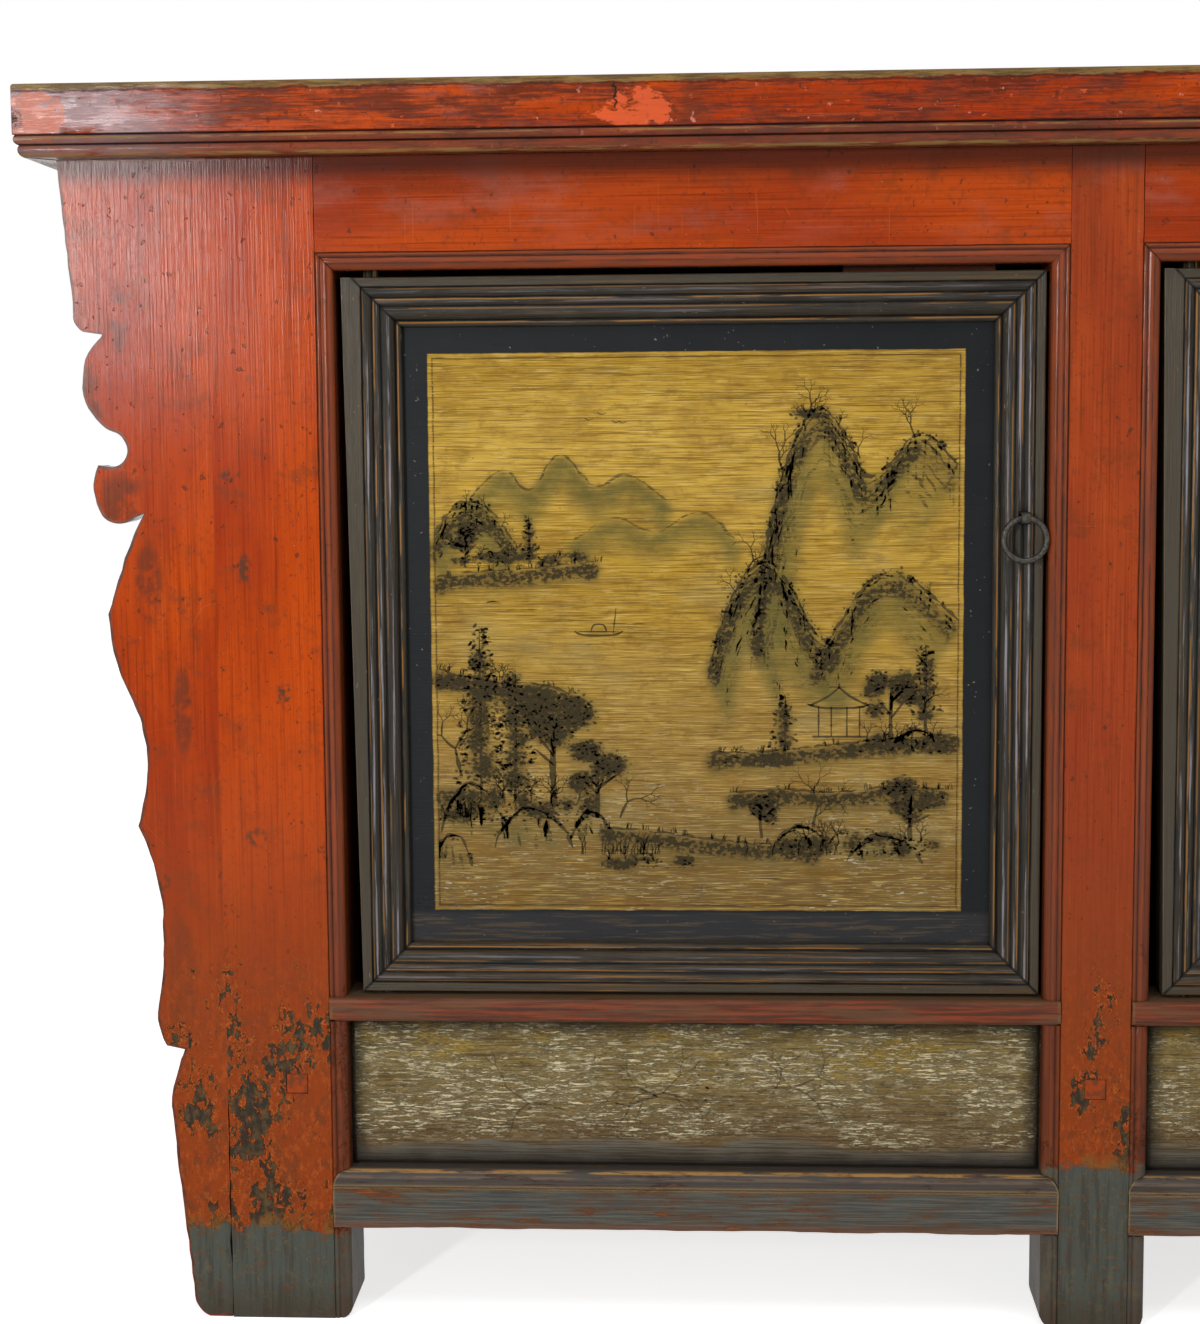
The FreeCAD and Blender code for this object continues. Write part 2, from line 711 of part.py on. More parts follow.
# Front rails
def end_waste(name, bay, lap, z):
    """What is cut from the ends of a front rail, so that only its laps cover the posts."""
    behind = (FRONT + S.lap_depth, RAIL_BACK + S.overrun)
    tools = []
    for label, edge, outward in (("left", BAY_LOW[bay], -1), ("right", BAY_HIGH[bay], 1)):
        end = inward_span(edge, outward, S.bead_width)
        tools.append(block("%s_%s_shoulder" % (name, label), end, behind, z))
        if lap != sill_lap:
            around = block("%s_%s_lap_block" % (name, label), end, LAP_Y, z)
            kept = prism("%s_%s_lap" % (name, label), "XZ", lap(edge, outward), widened(LAP_Y, S.overrun))
            tools.append(cut("%s_%s_lap_waste" % (name, label), around, [kept]))
    return tools


def front_rail(name, bay, outline, rail, z):
    """A front rail's bar with its laps, and its tenons."""
    opening = (BAY_LOW[bay], BAY_HIGH[bay])
    bar = padded_body(name, "YZ", outline, widened(opening, S.bead_width))
    shaped = cut(name + "_shaped", bar, end_waste(name, bay, LAPS[rail], z))
    return [shaped] + end_tenons(name, opening, FRONT_TENON_Y, FRONT_TENONS[rail])


def rail_groove(name, bay, z):
    """The groove of a front rail for the lower panel."""
    return block(name + "_groove", (BAY_LOW[bay], BAY_HIGH[bay]), groove_span(LOWER_PANEL_Y), z)


def hinge_edge(bay):
    """The edge of the opening at the hinge, and the way from it into the bay."""
    return (BAY_HIGH[bay], -1) if BAYS[bay] == "right" else (BAY_LOW[bay], 1)


DOOR_FACE = FRONT + S.door_recess
DOOR_BACK = DOOR_FACE + S.door_thickness
DOOR_FOOT = SILL_TOP + S.door_gap_foot
DOOR_HEAD = OPENING_TOP - S.door_gap_head
PIVOT_Y = DOOR_FACE + S.pivot_depth


def pivot_x(bay):
    """Where the axis of a door stands."""
    edge, into = hinge_edge(bay)
    return edge + S.pivot_inset * into


def pin_socket(name, bay, z):
    """The hole in which a door's pin turns."""
    return upright_pin(name + "_socket", pivot_x(bay), PIVOT_Y, z, S.pin_radius + S.pin_play)


def make_top_rail(bay):
    """The rail over a door, with its mitred moulding, door stop and pin socket."""
    name = "%s_top_rail" % BAYS[bay]
    steps = [[(RAIL_BACK, CARCASS_TOP)], [(FRONT, CARCASS_TOP)]]
    steps += laid_out(BEAD_SHARES, lambda a, d: (FRONT + S.bead_drop * d, OPENING_TOP + S.bead_width * a))
    steps += [[(RAIL_BACK, OPENING_TOP)]]
    parts = front_rail(name, bay, steps, "top", (OPENING_TOP, CARCASS_TOP))
    edge, into = hinge_edge(bay)
    stop_end = edge + (S.bay_width - S.stop_inset) * into
    stop_x = inward_span(stop_end, -into, S.stop_length)
    stop_z = (OPENING_TOP - S.stop_drop, OPENING_TOP)
    parts.append(block(name + "_stop", stop_x, (DOOR_BACK + S.stop_play, RAIL_BACK), stop_z))
    socket_z = (OPENING_TOP - S.overrun, OPENING_TOP + S.pin_engagement + S.pin_play)
    keep(name, cut(name, fuse(name + "_whole", parts), [pin_socket(name, bay, socket_z)]))


def make_sill(bay):
    """The thin rail under a door, with its pin socket."""
    name = "%s_sill_rail" % BAYS[bay]
    nose = FRONT - S.sill_proud
    bulge = S.sill_round * (1 - 0.5 ** 0.5)
    steps = [
        [(RAIL_BACK, SILL_LOW)],
        [(RAIL_BACK, SILL_TOP)],
        [(nose + S.sill_round, SILL_TOP)],
        [(nose + bulge, SILL_TOP - bulge), (nose, SILL_TOP - S.sill_round)],
        [(nose, SILL_LOW + S.sill_round)],
        [(nose + bulge, SILL_LOW + bulge), (nose + S.sill_round, SILL_LOW)],
    ]
    parts = front_rail(name, bay, steps, "sill", (SILL_LOW, SILL_TOP))
    socket_z = (SILL_TOP - S.pin_engagement - S.pin_play, SILL_TOP + S.overrun)
    groove = rail_groove(name, bay, (SILL_LOW, SILL_LOW + GROOVE_REACH))
    keep(name, cut(name, fuse(name + "_whole", parts), [pin_socket(name, bay, socket_z), groove]))


def make_base_rail(bay):
    """The rail between two legs, moulded along its top."""
    name = "%s_base_rail" % BAYS[bay]
    face = FRONT - S.base_proud
    low = BASE_TOP - S.base_moulding_height
    steps = [[(RAIL_BACK, BASE_TOP)], [(RAIL_BACK, S.leg_height)], [(face, S.leg_height)]]
    steps += laid_out(BASE_SHARES, lambda a, b: (face + S.base_moulding_depth * a, low + S.base_moulding_height * b))
    parts = front_rail(name, bay, steps, "base", (S.leg_height, BASE_TOP))
    groove = rail_groove(name, bay, (BASE_TOP - GROOVE_REACH, BASE_TOP))
    keep(name, cut(name, fuse(name + "_whole", parts), [groove]))


# Panels
def panel_blocks(name, through, across, up, field, with_field=True):
    """A panel's field and the tongues along its four edges, which stop short of its corners."""
    inner_across = widened(across, -S.panel_play)
    inner_up = widened(up, -S.panel_play)
    tongue = tongue_span(field)
    parts = [
        ("side_tongues", widened(across, S.panel_tongue), tongue, inner_up),
        ("end_tongues", inner_across, tongue, widened(up, S.panel_tongue)),
    ]
    if with_field:
        parts.append(("field", inner_across, field, inner_up))
    boxes = []
    for label, a, depth, b in parts:
        x, y = (a, depth) if through == "Y" else (depth, a)
        boxes.append(block("%s_%s" % (name, label), x, y, b))
    return boxes


def make_lower_panel(bay):
    """The pillowed panel between two legs."""
    name = "%s_lower_panel" % BAYS[bay]
    across = (BAY_LOW[bay], BAY_HIGH[bay])
    up = (BASE_TOP, SILL_LOW)
    outline = rectangle(widened(across, -S.panel_play), widened(up, -S.panel_play))
    body = padded_body(name, "XZ", outline, LOWER_PANEL_Y)
    nearest = S.panel_play.number
    rounded_edges(body, lambda point: abs(point.y) < nearest, S.lower_panel_round)
    keep(name, fuse(name, [body] + panel_blocks(name, "Y", across, up, LOWER_PANEL_Y, with_field=False)))


def make_side(place, side):
    """Two side rails with their tenons and grooves. The panel is returned."""
    for rail, z in SIDE_RAILS.items():
        name = "%s_side_%s_rail" % (place, rail)
        tenons = [side_tenon(name + "_front_tenon", side, z, True), side_tenon(name + "_back_tenon", side, z, False)]
        whole = fuse(name + "_whole", [block(name + "_bar", side_rail_x(side), SIDE_Y, z)] + tenons)
        groove_z = (z[0], z[0] + GROOVE_REACH) if rail == "top" else (z[1] - GROOVE_REACH, z[1])
        groove = block(name + "_groove", groove_span(side_panel_x(side)), SIDE_Y, groove_z)
        keep(name, cut(name, whole, [groove]))
    name = "%s_side_panel" % place
    return fuse(name, panel_blocks(name, "X", SIDE_Y, (BASE_TOP, SIDE_RAIL_LOW), side_panel_x(side)))


def make_back():
    """Rails and panels of the back, each kind in one node."""
    y = (BACK - S.back_rail_depth, BACK)
    for rail, z in BACK_RAILS.items():
        bars = []
        for bay, place in enumerate(BAYS):
            name = "%s_back_%s_rail" % (place, rail)
            x = (BAY_LOW[bay], BAY_HIGH[bay])
            parts = [block(name + "_bar", x, y, z)] + end_tenons(name, x, BACK_TENON_Y, shouldered(z))
            groove_z = (z[0], z[0] + GROOVE_REACH) if rail == "top" else (z[1] - GROOVE_REACH, z[1])
            groove = block(name + "_groove", x, groove_span(BACK_PANEL_Y), groove_z)
            bars.append(cut(name, fuse(name + "_whole", parts), [groove]))
        keep("back_%s_rails" % rail, group("back_%s_rails" % rail, bars))
    panels = []
    for bay, place in enumerate(BAYS):
        name = "%s_back_panel" % place
        x = (BAY_LOW[bay], BAY_HIGH[bay])
        panels.append(fuse(name, panel_blocks(name, "Y", x, (BASE_TOP, BACK_RAIL_LOW), BACK_PANEL_Y)))
    keep("back_panels", group("back_panels", panels))


# Floor
def floor_outline(bay):
    """A floor board's outline, notched round the four posts of its bay."""
    ends = [BEARERS[bay] + S.floor_play / 2, BEARERS[bay + 1] - S.floor_play / 2]
    if BAYS[bay] == "left":
        ends[0] = BEARERS[bay] - S.bearer_width / 2
    if BAYS[bay] == "right":
        ends[1] = BEARERS[bay + 1] + S.bearer_width / 2
    wide = widened(SIDE_Y, -S.floor_play)
    narrow = widened((BAY_LOW[bay], BAY_HIGH[bay]), -S.floor_play)
    front = LOWER_PANEL_Y[1] + S.floor_play
    back = BACK_PANEL_Y[0] - S.floor_play
    corners = [
        (ends[0], wide[0]), (narrow[0], wide[0]), (narrow[0], front), (narrow[1], front),
        (narrow[1], wide[0]), (ends[1], wide[0]), (ends[1], wide[1]), (narrow[1], wide[1]),
        (narrow[1], back), (narrow[0], back), (narrow[0], wide[1]), (ends[0], wide[1]),
    ]
    return [[corner] for corner in corners]


def make_floor():
    """Bearers through the posts, and the boards that lie on them."""
    bearers = []
    for number, x in enumerate(BEARERS, start=1):
        name = "floor_bearer_%d" % number
        bar = block(name + "_bar", about(x, S.bearer_width), SIDE_Y, (S.bearer_low, BEARER_TOP))
        bearers.append(fuse(name, [bar, bearer_tenon(name + "_tenons", x, (FRONT, BACK))]))
    keep("floor_bearers", group("floor_bearers", bearers))
    boards = []
    for bay, place in enumerate(BAYS):
        z = (BEARER_TOP, BEARER_TOP + S.floor_thickness)
        boards.append(padded_body("%s_floor_board" % place, "XY", floor_outline(bay), z))
    keep("floor_boards", group("floor_boards", boards))


# Top
TOP_INNER_X = TOP_HALF - S.top_member_width
TOP_INNER_Y = TOP_BACK - S.top_member_width
BOARD_LOW = TOP_TOP - S.top_board_thickness
TOP_TONGUE_Z = about((BOARD_LOW + TOP_TOP) / 2, S.top_tongue_thickness)
BATTEN_X = [low + S.bay_width / 2 for low in BAY_LOW]


def mitre_waste(name, side, depth_side, long_member):
    """What a mitre takes from the end of a member of the top."""
    far_x, far_y = TOP_HALF + S.overrun, TOP_BACK + S.overrun
    near_x, near_y = TOP_INNER_X - S.overrun, TOP_INNER_Y - S.overrun
    third = (far_x, near_y) if long_member else (near_x, far_y)
    steps = [[(x * side, y * depth_side)] for x, y in ((far_x, far_y), (near_x, near_y), third)]
    return prism(name, "XY", steps, widened((CARCASS_TOP, TOP_TOP), S.overrun))


def mitre_tenon(name, side, depth_side):
    """The tenon of a long member inside the end member, behind the mitre."""
    z = about((CARCASS_TOP + BOARD_LOW) / 2, S.top_tenon_thickness)
    x = mirrored(side, TOP_INNER_X, TOP_HALF - S.top_tenon_stop)
    y = mirrored(depth_side, *about((TOP_INNER_Y + TOP_BACK) / 2, S.top_tenon_width))
    return block(name, x, y, z)


def batten_ends(name, x):
    """The narrowed ends of a batten, inside the long members of the top."""
    y = widened((-TOP_INNER_Y, TOP_INNER_Y), S.batten_tenon)
    across = about(x, S.batten_width - S.tenon_shoulder * 2)
    return block(name, across, y, shouldered((BOARD_LOW - S.batten_height, BOARD_LOW)))


def batten_ridge(name, x, play):
    """The dovetailed ridge on a batten, which holds the boards flat, or with play its housing in them."""
    foot = widened(about(x, S.batten_ridge_width), play)
    head = widened(foot, S.batten_ridge_flare)
    head_z = BOARD_LOW + S.batten_ridge_height + play
    steps = [[(foot[0], BOARD_LOW)], [(foot[1], BOARD_LOW)], [(head[1], head_z)], [(head[0], head_z)]]
    return prism(name, "XZ", steps, widened((-TOP_INNER_Y, TOP_INNER_Y), play))


def top_member_outline(spot):
    """Section of a member of the top, from its inner face round its moulded edge."""
    steps = [[spot(S.top_member_width, CARCASS_TOP)], [spot(S.top_member_width, TOP_TOP)]]
    edge = laid_out(TOP_EDGE_SHARES, lambda a, b: spot(S.top_edge_depth * a, CARCASS_TOP + S.top_thickness * b))
    return steps + edge


def make_long_member(place, depth_side, posts_y):
    """The front or back member of the top."""
    name = "top_%s_member" % place
    steps = top_member_outline(lambda inward, z: ((TOP_BACK - inward) * depth_side, z))
    bar = padded_body(name, "YZ", steps, (-TOP_HALF, TOP_HALF))
    waste = [mitre_waste("%s_%s_mitre" % (name, label), side, depth_side, True) for label, side in SIDES]
    tenons = [mitre_tenon("%s_%s_tenon" % (name, label), side, depth_side) for label, side in SIDES]
    whole = fuse(name + "_whole", [cut(name + "_mitred", bar, waste)] + tenons)
    groove_y = mirrored(depth_side, TOP_INNER_Y, TOP_INNER_Y + S.top_tongue + S.panel_play)
    groove_z = widened(TOP_TONGUE_Z, S.panel_play)
    tools = [block(name + "_groove", (-TOP_INNER_X, TOP_INNER_X), groove_y, groove_z)]
    for post, (low, high, _, _) in POSTS.items():
        tools.append(post_tenon("%s_%s_mortise" % (name, post), low, high, posts_y))
    for label, x in zip(BAYS, BATTEN_X):
        tools.append(batten_ends("%s_%s_batten" % (name, label), x))
    keep(name, cut(name, whole, tools))


def make_end_member(place, side):
    """The left or right member of the top."""
    name = "top_%s_member" % place
    steps = top_member_outline(lambda inward, z: ((TOP_HALF - inward) * side, z))
    bar = padded_body(name, "XZ", steps, (TOP_FRONT, TOP_BACK))
    groove_x = mirrored(side, TOP_INNER_X, TOP_INNER_X + S.top_tongue + S.panel_play)
    groove_z = widened(TOP_TONGUE_Z, S.panel_play)
    tools = [block(name + "_groove", groove_x, (-TOP_INNER_Y, TOP_INNER_Y), groove_z)]
    for label, depth_side in (("front", -1), ("back", 1)):
        tools.append(mitre_waste("%s_%s_mitre" % (name, label), side, depth_side, False))
        tools.append(mitre_tenon("%s_%s_mortise" % (name, label), side, depth_side))
    keep(name, cut(name, bar, tools))


def make_top_board(name, depth_side):
    """One of the two boards inside the frame, housed over the battens."""
    zero = as_size(0)
    inner_x = (-TOP_INNER_X, TOP_INNER_X)
    field_x = widened(inner_x, -S.panel_play)
    field_y = mirrored(depth_side, zero, TOP_INNER_Y - S.panel_play)
    tongue_y = mirrored(depth_side, zero, TOP_INNER_Y + S.top_tongue)
    parts = [
        block(name + "_field", field_x, field_y, (BOARD_LOW, TOP_TOP)),
        block(name + "_end_tongues", widened(inner_x, S.top_tongue), field_y, TOP_TONGUE_Z),
        block(name + "_long_tongue", field_x, tongue_y, TOP_TONGUE_Z),
    ]
    housings = [batten_ridge("%s_%s_housing" % (name, label), x, S.panel_play) for label, x in zip(BAYS, BATTEN_X)]
    return cut(name, fuse(name + "_whole", parts), housings)


def make_top():
    """Mitred frame, two boards and three dovetailed battens."""
    make_long_member("front", -1, (FRONT, SIDE_Y[0]))
    make_long_member("back", 1, (SIDE_Y[1], BACK))
    for place, side in SIDES:
        make_end_member(place, side)
    boards = [make_top_board("top_front_board", -1), make_top_board("top_back_board", 1)]
    keep("top_boards", group("top_boards", boards))
    battens = []
    for label, x in zip(BAYS, BATTEN_X):
        name = "%s_batten" % label
        bar_z = (BOARD_LOW - S.batten_height, BOARD_LOW)
        bar = block(name + "_bar", about(x, S.batten_width), (-TOP_INNER_Y, TOP_INNER_Y), bar_z)
        ridge = batten_ridge(name + "_ridge", x, as_size(0))
        battens.append(fuse(name, [bar, batten_ends(name + "_ends", x), ridge]))
    keep("top_battens", group("top_battens", battens))


# Doors
HINGE_INNER = S.hinge_gap + S.hinge_band + S.door_member_width
LOCK_OUTER = S.bay_width - S.lock_gap
LOCK_INNER = LOCK_OUTER - S.door_member_width
RAIL_INNER = {"bottom": DOOR_FOOT + S.door_member_width, "top": DOOR_HEAD - S.door_member_width}
RAIL_OUTER = {"bottom": DOOR_FOOT, "top": DOOR_HEAD}
PINS = {
    "bottom": (SILL_TOP - S.pin_engagement, RAIL_INNER["bottom"]),
    "top": (RAIL_INNER["top"], OPENING_TOP + S.pin_engagement),
}
DOOR_PANEL_Y = (DOOR_FACE + S.door_panel_drop, DOOR_FACE + S.door_panel_drop + S.door_panel_thickness)
EYE_Y = DOOR_FACE - S.eye_reach
EYE_Z = DOOR_FOOT + S.ring_height
EYE_INNER = S.ring_wire_radius + S.eye_play
EYE_OUTER = EYE_INNER + S.strip_thickness


class Door:
    """Where a door's pieces lie, by their distance from the hinge edge of the opening."""

    def __init__(self, bay):
        self.name = BAYS[bay] + "_door"
        self.edge, self.into = hinge_edge(bay)
        self.pivot_x = pivot_x(bay)
        self.ring_x = self.x(LOCK_OUTER - S.ring_inset)
        self.strip_x = about(self.ring_x, S.strip_width)

    def x(self, distance):
        return self.edge + distance * self.into

    def span(self, near, far):
        return ordered(self.x(near), self.x(far))


def corner_waste(name, door, inner, outward, rail, from_stile):
    """What the mitre of one corner takes from a stile or from a rail."""
    up = 1 if rail == "top" else -1
    reach = S.door_member_width + S.overrun
    start = (inner - S.overrun * outward, RAIL_INNER[rail] - S.overrun * up)
    stop = (inner + reach * outward, RAIL_INNER[rail] + reach * up)
    third = (start[0], stop[1]) if from_stile else (stop[0], start[1])
    steps = [[(door.x(distance), z)] for distance, z in (start, stop, third)]
    return prism(name, "XZ", steps, widened((DOOR_FACE, DOOR_BACK), S.overrun))


def door_tenon(name, door, inner, outward, rail):
    """A door rail's tenon inside a stile."""
    z = widened(ordered(RAIL_INNER[rail], RAIL_OUTER[rail]), -S.door_tenon_shoulder)
    y = about(middle((DOOR_FACE, DOOR_BACK)), S.door_tenon_thickness)
    return block(name, door.span(inner, inner + S.door_tenon_length * outward), y, z)


def stile_joints(name, door, inner, outward):
    """Mitres, mortises and panel groove of a stile."""
    tools = []
    for rail in RAIL_INNER:
        tools.append(corner_waste("%s_%s_mitre" % (name, rail), door, inner, outward, rail, True))
        tools.append(door_tenon("%s_%s_mortise" % (name, rail), door, inner, outward, rail))
    groove_x = door.span(inner, inner + GROOVE_REACH * outward)
    groove_z = (RAIL_INNER["bottom"], RAIL_INNER["top"])
    return tools + [block(name + "_groove", groove_x, groove_span(DOOR_PANEL_Y), groove_z)]


def make_hinge_stile(door):
    """The stile that carries the two wooden pins, planed narrower towards its foot.

    Each pin grows out of the stile and runs through the mitred end of the rail.
    """
    name = door.name + "_hinge_stile"
    outer = S.hinge_gap
    moulded = outer + S.hinge_band
    steps = [[(door.x(HINGE_INNER), DOOR_BACK)], [(door.x(outer), DOOR_BACK)], [(door.x(outer), DOOR_FACE)]]
    steps += laid_out(
        DOOR_SHARES[2:],
        lambda a, d: (door.x(moulded + S.door_member_width * a), DOOR_FACE + S.door_moulding_depth * d),
    )
    bar = padded_body(name, "XY", steps, (DOOR_FOOT, DOOR_HEAD))
    taper = [[(door.x(outer), DOOR_HEAD)], [(door.x(moulded), DOOR_FOOT)], [(door.x(outer), DOOR_FOOT)]]
    tools = [prism(name + "_taper", "XZ", taper, widened((DOOR_FACE, DOOR_BACK), S.overrun))]
    shaped = cut(name + "_shaped", bar, tools + stile_joints(name, door, HINGE_INNER, -1))
    pins = [
        upright_pin("%s_%s_pin" % (name, end), door.pivot_x, PIVOT_Y, z, S.pin_radius) for end, z in PINS.items()
    ]
    keep(name, fuse(name, [shaped] + pins))


def make_lock_stile(door):
    """The stile that carries the ring."""
    name = door.name + "_lock_stile"
    steps = [[(door.x(LOCK_INNER), DOOR_BACK)], [(door.x(LOCK_OUTER), DOOR_BACK)]]
    steps += laid_out(
        DOOR_SHARES,
        lambda a, d: (door.x(LOCK_OUTER - S.door_member_width * a), DOOR_FACE + S.door_moulding_depth * d),
    )
    bar = padded_body(name, "XY", steps, (DOOR_FOOT, DOOR_HEAD))
    hole_z = about(EYE_Z, (EYE_OUTER + S.strip_play) * 2)
    through = widened((DOOR_FACE, DOOR_BACK), S.overrun)
    hole = block(name + "_staple_hole", widened(door.strip_x, S.strip_play), through, hole_z)
    keep(name, cut(name, bar, stile_joints(name, door, LOCK_INNER, 1) + [hole]))


def make_door_rail(door, rail):
    """The top or bottom rail of a door, mitred and tenoned into both stiles."""
    name = "%s_%s_rail" % (door.name, rail)
    up = 1 if rail == "top" else -1
    outer = RAIL_OUTER[rail]
    steps = [[(DOOR_BACK, RAIL_INNER[rail])], [(DOOR_BACK, outer)]]
    steps += laid_out(
        DOOR_SHARES,
        lambda a, d: (DOOR_FACE + S.door_moulding_depth * d, outer - S.door_member_width * (a * up)),
    )
    bar = padded_body(name, "YZ", steps, door.span(HINGE_INNER - S.door_member_width, LOCK_OUTER))
    waste, tenons = [], []
    for label, inner, outward in (("hinge", HINGE_INNER, -1), ("lock", LOCK_INNER, 1)):
        waste.append(corner_waste("%s_%s_mitre" % (name, label), door, inner, outward, rail, False))
        tenons.append(door_tenon("%s_%s_tenon" % (name, label), door, inner, outward, rail))
    whole = fuse(name + "_whole", [cut(name + "_mitred", bar, waste)] + tenons)
    groove_z = inward_span(RAIL_INNER[rail], up, GROOVE_REACH)
    groove = block(name + "_groove", door.span(HINGE_INNER, LOCK_INNER), groove_span(DOOR_PANEL_Y), groove_z)
    pin_hole = upright_pin(name + "_pin_hole", door.pivot_x, PIVOT_Y, PINS[rail], S.pin_radius + S.pin_play)
    keep(name, cut(name, whole, [groove, pin_hole]))


def make_door_panel(door):
    """The painted panel, loose in its grooves."""
    name = door.name + "_panel"
    up = (RAIL_INNER["bottom"], RAIL_INNER["top"])
    keep(name, fuse(name, panel_blocks(name, "Y", door.span(HINGE_INNER, LOCK_INNER), up, DOOR_PANEL_Y)))


def make_staple(door):
    """An iron strip bent round the ring, pushed through the stile and clenched behind it."""
    name = door.name + "_staple"
    behind = DOOR_BACK + S.strip_thickness
    tip = EYE_OUTER + S.clench_length
    steps = [
        [(DOOR_BACK, EYE_Z + EYE_OUTER)],
        [(DOOR_BACK, EYE_Z + tip)],
        [(behind, EYE_Z + tip)],
        [(behind, EYE_Z + EYE_INNER)],
        [(EYE_Y, EYE_Z + EYE_INNER)],
        [(EYE_Y - EYE_INNER, EYE_Z), (EYE_Y, EYE_Z - EYE_INNER)],
        [(behind, EYE_Z - EYE_INNER)],
        [(behind, EYE_Z - tip)],
        [(DOOR_BACK, EYE_Z - tip)],
        [(DOOR_BACK, EYE_Z - EYE_OUTER)],
        [(EYE_Y, EYE_Z - EYE_OUTER)],
        [(EYE_Y - EYE_OUTER, EYE_Z), (EYE_Y, EYE_Z + EYE_OUTER)],
    ]
    keep(name, padded_body(name, "YZ", steps, door.strip_x))


def make_ring(door):
    """The iron ring, hanging in its eye."""
    name = door.name + "_ring"
    ring = doc.addObject("Part::Torus", name)
    bind(ring, "Radius1", S.ring_radius)
    bind(ring, "Radius2", S.ring_wire_radius)
    upright = Rotation(Vector(0, 0, 1), Vector(0, 1, 0))
    bind_place(ring, door.ring_x, EYE_Y, EYE_Z - S.ring_radius, upright)
    keep(name, ring)


def make_doors():
    """Three doors. The right one hangs on the other side."""
    for bay in range(len(BAYS)):
        door = Door(bay)
        make_hinge_stile(door)
        make_lock_stile(door)
        make_door_rail(door, "top")
        make_door_rail(door, "bottom")
        make_door_panel(door)
        make_staple(door)
        make_ring(door)


def write_pieces():
    """Checks every feature and every piece, and writes one file for each piece."""
    doc.recompute()
    failed = [item.Name for item in doc.Objects if "Invalid" in item.State or "Error" in item.State]
    if failed:
        raise RuntimeError("failed features: " + ", ".join(failed))
    for name, feature in PIECES.items():
        if feature.Shape.isNull() or not feature.Shape.isValid() or not feature.Shape.Solids:
            raise RuntimeError("no valid solid in " + name)
    os.makedirs("parts", exist_ok=True)
    for name, feature in PIECES.items():
        feature.Shape.exportStep("parts/%s.step" % name)
    print("pieces:", len(PIECES))


for bay in range(len(BAYS)):
    make_lower_panel(bay)
for bay in range(len(BAYS)):
    make_top_rail(bay)
    make_sill(bay)
    make_base_rail(bay)
make_top()
make_posts()
make_wings()
keep("side_panels", group("side_panels", [make_side(place, side) for place, side in SIDES]))
make_back()
make_floor()
make_doors()
write_pieces()
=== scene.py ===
import math
import random

import bmesh
import bpy
from mathutils import Matrix, Vector, noise


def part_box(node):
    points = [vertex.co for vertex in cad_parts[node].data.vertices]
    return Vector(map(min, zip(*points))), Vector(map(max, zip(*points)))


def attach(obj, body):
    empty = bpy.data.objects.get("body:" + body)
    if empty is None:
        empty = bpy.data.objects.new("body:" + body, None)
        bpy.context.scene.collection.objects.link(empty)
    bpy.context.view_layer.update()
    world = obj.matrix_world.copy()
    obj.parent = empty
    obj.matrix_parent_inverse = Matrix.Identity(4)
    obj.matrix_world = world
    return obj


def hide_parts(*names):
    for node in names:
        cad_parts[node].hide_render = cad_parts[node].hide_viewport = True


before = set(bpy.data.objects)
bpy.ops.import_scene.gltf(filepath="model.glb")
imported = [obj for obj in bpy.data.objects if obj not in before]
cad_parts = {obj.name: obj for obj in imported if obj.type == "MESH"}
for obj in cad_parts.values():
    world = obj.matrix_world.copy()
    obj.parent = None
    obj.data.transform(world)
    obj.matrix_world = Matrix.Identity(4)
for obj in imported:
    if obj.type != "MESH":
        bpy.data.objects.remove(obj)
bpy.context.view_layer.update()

# Looks of the painted sideboard. Places in the materials and paintings are in millimetres of the frame.
MM = 0.001
AXES = {"x": 0, "y": 1, "z": 2}
BAYS = ("left", "centre", "right")
SIDES = (("left", -1), ("right", 1))


def edges_of(node):
    """Lowest and highest corner of a node, in millimetres."""
    low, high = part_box(node)
    return low / MM, high / MM


# Levels and widths that several materials share
TOP_LOW, TOP_HIGH = (corner.z for corner in edges_of("top_front_member"))
OPENING_TOP = edges_of("left_top_rail")[0].z + 9
BASE_LOW, BASE_TOP = (corner.z for corner in edges_of("left_base_rail"))
SILL_LOW, SILL_TOP = (corner.z for corner in edges_of("left_sill_rail"))
FACE = edges_of("front_left_post")[0].y
BEAD = 12
DOOR_MEMBER = 34
LIP = 5
TONGUE_FRONT, TONGUE_BACK = 2, 7


def tone(red, green, blue):
    """A colour as it is seen, from 0 to 255, as the linear one that a shader takes."""
    shares = [part / 255 for part in (red, green, blue)]
    return (*[share / 12.92 if share < 0.04 else ((share + 0.055) / 1.055) ** 2.4 for share in shares], 1.0)


